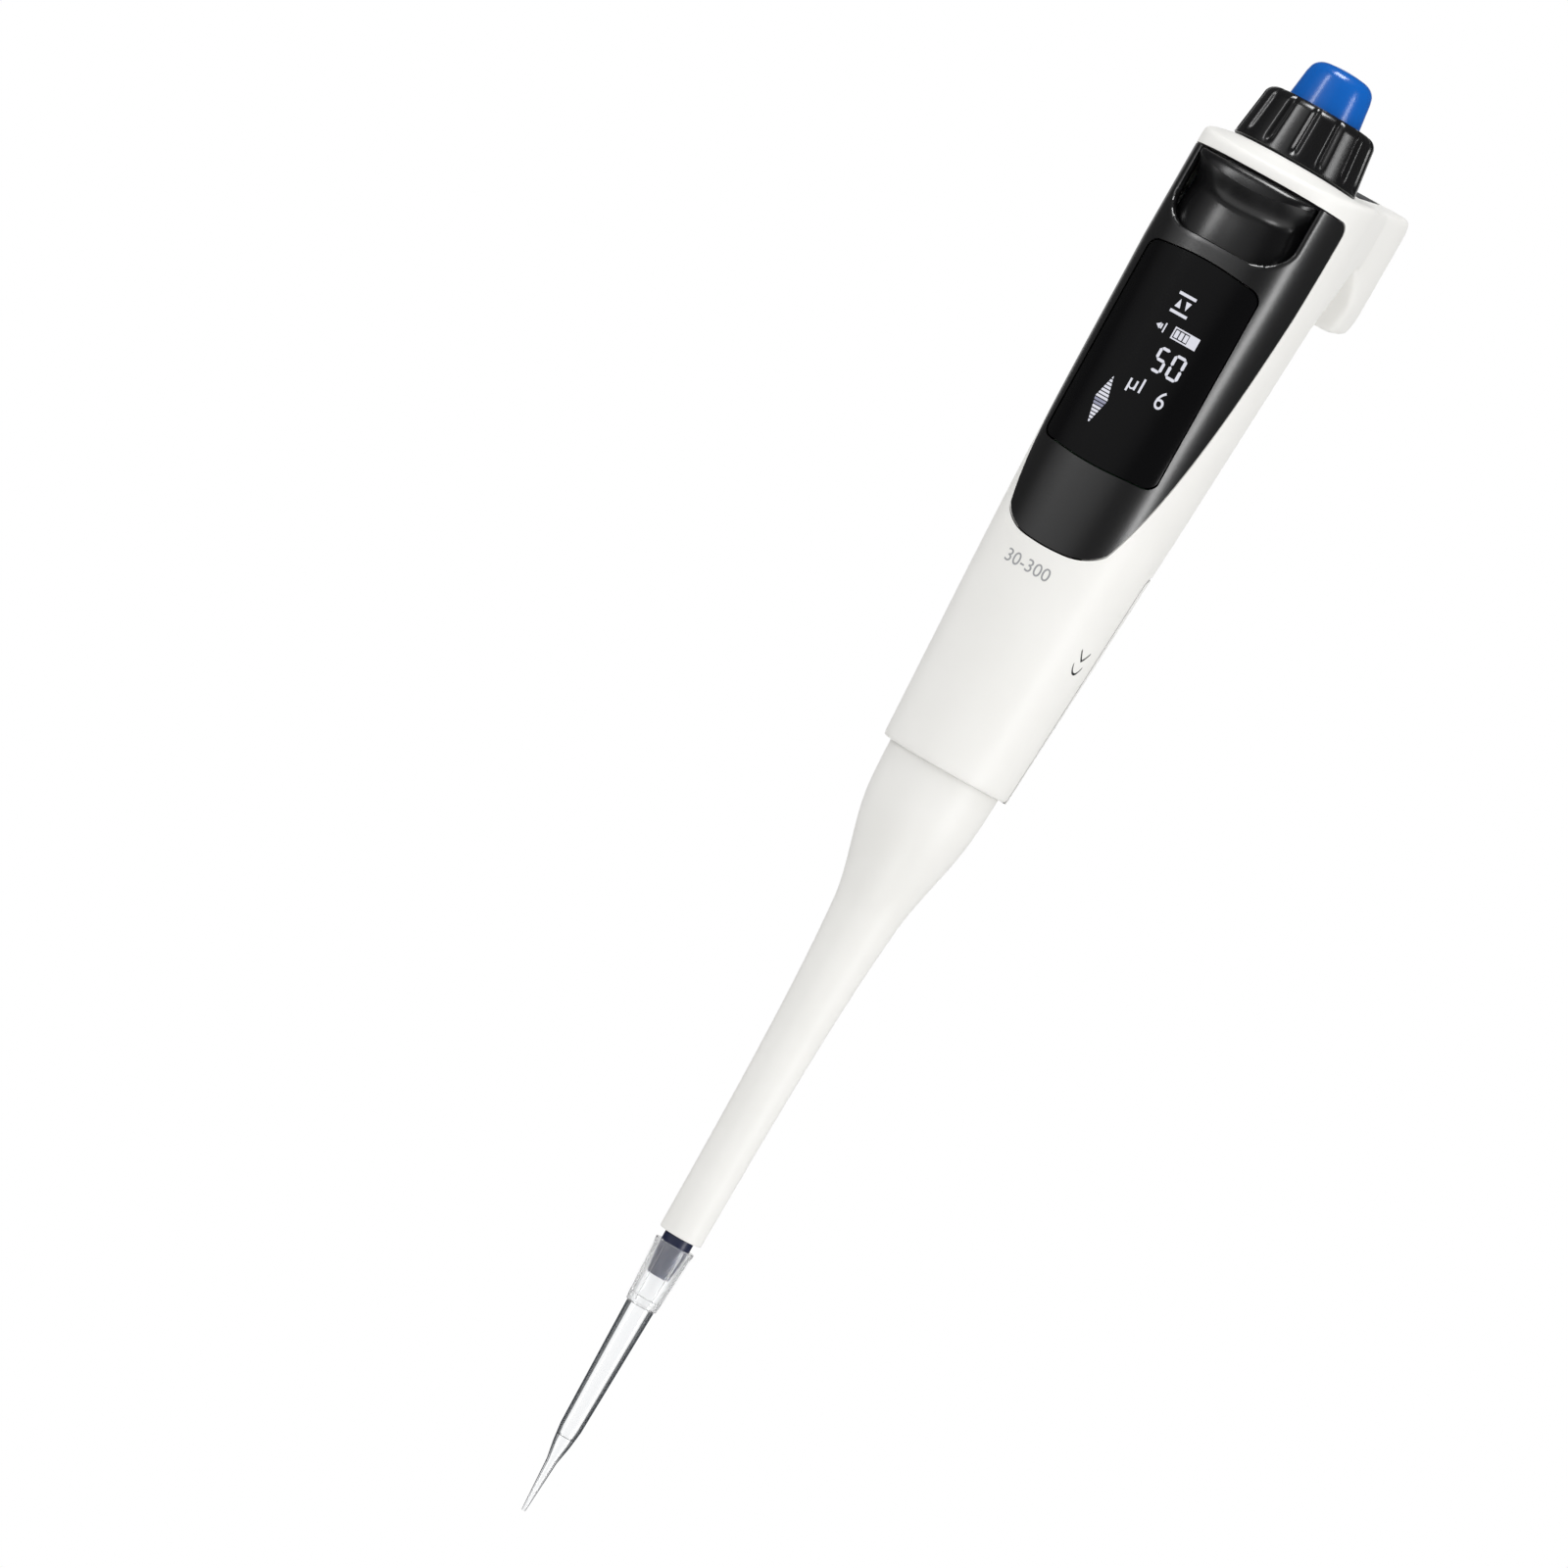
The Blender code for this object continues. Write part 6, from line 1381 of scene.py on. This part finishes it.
marks = [
    box_outline(-1.1, 2.7, -21.4, -22.0),
    box_outline(-1.1, 2.7, -25.2, -25.8),
    scaled([(-0.7, -24.5), (0.5, -24.5), (-0.1, -22.7)]),
    scaled([(1.1, -22.7), (2.3, -22.7), (1.7, -24.5)]),
]
marks += frame_outline(1.7, 7.1, -27.8, -30.3, 0.28)
marks += [box_outline(left, left + 0.75, -28.3, -29.8) for left in (2.2, 3.2, 4.2)]
marks += [box_outline(5.1, 7.1, -28.08, -30.02)]
marks += [
    scaled([(-2.1, -29.1), (-1.2, -29.75), (-1.2, -28.45)]),
    box_outline(-1.1, -0.75, -28.6, -29.6),
    box_outline(-0.35, -0.05, -28.1, -30.1),
]
marks += figure("5", 1.1, 3.6, -32.3, -37.5, 0.6)
marks += figure("0", 4.4, 7.1, -32.3, -37.5, 0.6)
marks += letters("6", 5.3, 7.1, -39.8, -43.5)
lit_marks = lay("display_marks", marks, on_window, MARK_THICKNESS)
dress(lit_marks, LIT, "handle", "display_black")

unit = lay("display_unit", letters("µl", -1.1, 1.9, -39.5, -43.2), on_window, MARK_THICKNESS)
dress(unit, LIT, "handle", "display_black")

DIAMOND_X = -4.4
DIAMOND_HALF = 1.45
DIAMOND_TOP = -41.8
DIAMOND_WIDE = -46.8
DIAMOND_LOW = -52.3
STRIPE_PITCH = 0.72
STRIPE = 0.5
DIM_DOWN_TO = -48.9


def diamond_half(z):
    if z > DIAMOND_WIDE:
        return DIAMOND_HALF * (DIAMOND_TOP - z) / (DIAMOND_TOP - DIAMOND_WIDE)
    return DIAMOND_HALF * (z - DIAMOND_LOW) / (DIAMOND_WIDE - DIAMOND_LOW)


stripes = {"bright": [], "dim": []}
stripe_top = DIAMOND_TOP - 0.15
while stripe_top - STRIPE > DIAMOND_LOW:
    low = stripe_top - STRIPE
    edge = [(diamond_half(low), low), (diamond_half(stripe_top), stripe_top)]
    if low < DIAMOND_WIDE < stripe_top:
        edge.insert(1, (DIAMOND_HALF, DIAMOND_WIDE))
    outline = [(DIAMOND_X + half, z) for half, z in edge]
    outline += [(DIAMOND_X - half, z) for half, z in reversed(edge)]
    tone = "dim" if DIM_DOWN_TO < low < DIAMOND_WIDE else "bright"
    stripes[tone].append(scaled(outline))
    stripe_top -= STRIPE_PITCH
dress(lay("display_scale", stripes["bright"], on_window, MARK_THICKNESS), LIT, "handle", "display_black")
dress(lay("display_scale_dim", stripes["dim"], on_window, MARK_THICKNESS), LIT_DIM, "handle", "display_black")
print("display:", len(marks), "lit outlines and", sum(len(s) for s in stripes.values()), "stripes")

# %% The printed range, and the arrows beside the cover in painted groove shade
RANGE_THICKNESS = 0.04 * MM
printed = lay("volume_range", letters("30-300", -5.8, 4.3, -80.2, -82.8), on_front, RANGE_THICKNESS)
dress(printed, PRINT_GREY, "handle", "white_casing")

ARROW_ANGLE = math.radians(74.8)
ARROW_HALF = 1.65
ARROW_LINE = 0.5


def on_side(a, z, lift):
    """a runs round the handle from the arrows' middle."""
    half_width, half_depth, centre_y, squareness = handle_at(z)
    angle = ARROW_ANGLE + a / half_width
    bend = 2 / squareness
    return Vector((
        (half_width + lift) * math.sin(angle) ** bend,
        centre_y - (half_depth + lift) * math.cos(angle) ** bend, z,
    ))


def arrow(top, bottom, roundness):
    """A thin open arrow that points down, with a pointed or a round foot."""
    steps = 16
    line = []
    for index in range(steps + 1):
        across = 2 * index / steps - 1
        line.append((ARROW_HALF * across, bottom + (top - bottom) * abs(across) ** roundness))
    outlines = []
    for (x0, z0), (x1, z1) in zip(line, line[1:]):
        outlines.append(scaled([(x0, z0), (x0, z0 - ARROW_LINE), (x1, z1 - ARROW_LINE), (x1, z1)]))
    return outlines


# On the real casing the arrows are moulded grooves; here thin dark shapes laid on the skin paint their shade.
arrows = lay("cover_arrows", arrow(-90.3, -92.3, 1.2) + arrow(-93.4, -95.2, 2.2), on_side, MARK_THICKNESS)
dress(arrows, GROOVE_SHADE, "handle", "white_casing")

# %% [markdown]
# ## Finishes inside
# The pieces inside keep their solids. Each gets the finish of what it really is, so that an opened pipette
# looks right too: steel springs and rods, a copper winding, green boards, a wrapped battery cell.

# %% Finish the pieces inside
inside_finishes = {
    "chassis": GREY, "encoder_body": DARK, "button_switch": DARK, "buzzer": DARK, "home_sensor": DARK,
    "button_stem": GREY, "carriage": DARK, "piston_barrel": GREY, "seal_retainer": BRASS,
    "barrel_nut": BRASS, "motor_bearing_lower": BRASS, "motor_bearing_upper": BRASS,
    "knob_shaft": STEEL, "button_spring": STEEL, "ejector_spring": STEEL, "ejector_rod": STEEL,
    "key_board_screw_left": STEEL, "key_board_screw_right": STEEL, "motor_screw_left": STEEL,
    "motor_screw_right": STEEL, "battery_contact_minus": STEEL, "battery_contact_plus": STEEL,
    "motor_case": STEEL, "lead_screw": BRIGHT_STEEL, "piston_rod": BRIGHT_STEEL,
    "motor_rotor": DARK_STEEL, "motor_stator": COPPER, "main_board": SOLDER_MASK, "key_board": SOLDER_MASK,
    "display_module": WINDOW_BLACK, "battery_pack": WRAP, "piston_seal": RUBBER_AND_SEAM_SHADE,
}
for name, surface in inside_finishes.items():
    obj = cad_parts[name]
    for material_slot in obj.material_slots:
        material_slot.material = surface
print("inside finishes:", len(inside_finishes))

# %% [markdown]
# ## Floor, light and camera
# The photograph is a product cut-out on white, lit very softly, with one tall narrow light on the right that
# draws a line down the black panel. The world gives the even light. Three lamps light the surfaces, and four
# more only shine in gloss, so that each reflection can be placed by itself.

# %% The floor
FLOOR_Z = -0.75
FLOOR_HALF_SIZE = 0.7
FLOOR_GLOW = 0.45

floor_bm = bmesh.new()
bmesh.ops.create_grid(floor_bm, x_segments=1, y_segments=1, size=FLOOR_HALF_SIZE)
bmesh.ops.translate(floor_bm, verts=floor_bm.verts, vec=(0, 0, FLOOR_Z))
floor = add_object("floor", floor_bm)
PAPER, tree, shader = new_finish("white_studio_paper")
shader.inputs["Base Color"].default_value = linear("F4F4F3")
shader.inputs["Roughness"].default_value = 0.9
path = add_node(tree, "ShaderNodeLightPath")
seen = add_node(
    tree, "ShaderNodeMath", links={0: path.outputs["Is Camera Ray"], 1: path.outputs["Is Glossy Ray"]},
    operation="MAXIMUM",
)
seen = add_node(
    tree, "ShaderNodeMath", links={0: seen.outputs[0], 1: path.outputs["Is Transmission Ray"]},
    operation="MAXIMUM",
)
glow = add_node(tree, "ShaderNodeMath", {1: FLOOR_GLOW}, {0: seen.outputs[0]}, operation="MULTIPLY")
tree.links.new(glow.outputs[0], shader.inputs["Emission Strength"])
shader.inputs["Emission Color"].default_value = (1, 1, 1, 1)
floor.data.materials.append(PAPER)

# %% Where the photograph is taken from
CAMERA_AZIMUTH = math.radians(20)
CAMERA_ELEVATION = math.radians(2.2)
CAMERA_ROLL = math.radians(29.78)
CAMERA_DISTANCE = 1.6

# %% The world
# Diffuse light comes evenly from all round, and clear plastic shows the white background. Reflections see a
# dark room with a white backdrop behind the object and a soft glow on its front left, which keeps black deep.
AMBIENT_LEVEL = 0.7
ROOM_LEVEL = 0.06
BACKDROP_LEVEL = 1.0
GLOW_LEVEL = 0.5
GLOW_AZIMUTH = math.radians(-24)


def facing(tree, direction, azimuth, near, full, level):
    """A soft round patch of light in one direction: none before near, level from full on."""
    way = (math.sin(azimuth), -math.cos(azimuth), 0.0)
    along = add_node(tree, "ShaderNodeVectorMath", {1: way}, {0: direction}, operation="DOT_PRODUCT")
    patch = add_node(
        tree, "ShaderNodeMapRange", {"From Min": near, "From Max": full, "To Max": level},
        {"Value": along.outputs["Value"]}, interpolation_type="SMOOTHSTEP",
    )
    return patch.outputs["Result"]


world = bpy.data.worlds.new("studio")
bpy.context.scene.world = world
world.use_nodes = True
tree = world.node_tree
background = tree.nodes["Background"]
background.inputs["Color"].default_value = (1, 1, 1, 1)
path = add_node(tree, "ShaderNodeLightPath")
seen = add_node(
    tree, "ShaderNodeMath", links={0: path.outputs["Is Camera Ray"], 1: path.outputs["Is Transmission Ray"]},
    operation="MAXIMUM",
)
direction = add_node(tree, "ShaderNodeTexCoord").outputs["Generated"]
backdrop = facing(tree, direction, CAMERA_AZIMUTH + math.pi, 0.9, 0.965, BACKDROP_LEVEL)
glow = facing(tree, direction, GLOW_AZIMUTH, 0.6, 1.0, GLOW_LEVEL)
room = add_node(tree, "ShaderNodeMath", links={0: backdrop, 1: glow}, operation="ADD")
room = add_node(tree, "ShaderNodeMath", {1: ROOM_LEVEL}, {0: room.outputs[0]}, operation="ADD")
level = add_node(
    tree, "ShaderNodeMix", {"A": AMBIENT_LEVEL},
    {"Factor": path.outputs["Is Glossy Ray"], "B": room.outputs[0]},
)
level = add_node(
    tree, "ShaderNodeMix", {"B": BACKDROP_LEVEL}, {"Factor": seen.outputs[0], "A": level.outputs["Result"]},
)
tree.links.new(level.outputs["Result"], background.inputs["Strength"])


# %% The lamps
LAMP_AIM = (0.0, 0.0, -0.12)


def soft_box(name, azimuth, elevation, distance, size, power, lights):
    """A rectangular lamp turned to the object. It lights surfaces, or else only shines in their gloss."""
    lamp = bpy.data.lights.new(name, "AREA")
    lamp.shape = "RECTANGLE"
    lamp.size, lamp.size_y = size
    lamp.energy = power
    obj = bpy.data.objects.new(name, lamp)
    turn, tilt = math.radians(azimuth), math.radians(elevation)
    way = Vector((math.sin(turn) * math.cos(tilt), -math.cos(turn) * math.cos(tilt), math.sin(tilt)))
    obj.location = Vector(LAMP_AIM) + way * distance
    obj.rotation_euler = way.to_track_quat("Z", "Y").to_euler()
    obj.visible_camera = False
    obj.visible_diffuse = lights
    obj.visible_glossy = not lights
    bpy.context.scene.collection.objects.link(obj)


soft_box("strip_right", 82, 0, 0.8, (0.2, 0.9), 2.0, lights=True)
soft_box("soft_left", -28, 17, 1.0, (0.5, 0.9), 1.5, lights=True)
soft_box("soft_top", 20, 75, 0.9, (0.8, 0.8), 2.7, lights=True)
soft_box("gloss_right", 80, 0, 0.8, (0.16, 0.9), 4.5, lights=False)
soft_box("gloss_left", -30, 26, 0.9, (0.1, 0.42), 1.7, lights=False)
soft_box("gloss_top", -10, 75, 0.9, (0.4, 0.35), 8.0, lights=False)
soft_box("gloss_low", 30, -48, 0.8, (0.25, 0.25), 2.0, lights=False)

# %% The camera
CAMERA_LENS = 189.2
CAMERA_SENSOR = 36
AIM_Z = -141.92 * MM
AIM_LEFT = 26.2 * MM

camera_data = bpy.data.cameras.new("camera")
camera_data.lens = CAMERA_LENS
camera_data.sensor_width = CAMERA_SENSOR
camera_data.dof.use_dof = False
camera = bpy.data.objects.new("camera", camera_data)
bpy.context.scene.collection.objects.link(camera)
side = Vector((math.cos(CAMERA_AZIMUTH), math.sin(CAMERA_AZIMUTH), 0))
away = Vector((
    math.sin(CAMERA_AZIMUTH) * math.cos(CAMERA_ELEVATION),
    -math.cos(CAMERA_AZIMUTH) * math.cos(CAMERA_ELEVATION), math.sin(CAMERA_ELEVATION),
))
above = away.cross(side)
camera_x = side * math.cos(CAMERA_ROLL) + above * math.sin(CAMERA_ROLL)
camera_y = above * math.cos(CAMERA_ROLL) - side * math.sin(CAMERA_ROLL)
target = Vector((0, 0, AIM_Z)) - side * AIM_LEFT
place = target + away * CAMERA_DISTANCE
camera.matrix_world = Matrix((
    (camera_x.x, camera_y.x, away.x, place.x), (camera_x.y, camera_y.y, away.y, place.y),
    (camera_x.z, camera_y.z, away.z, place.z), (0, 0, 0, 1),
))
bpy.context.scene.camera = camera
bpy.context.scene.view_settings.view_transform = "Standard"
print("camera", round(CAMERA_DISTANCE, 2), "m away")
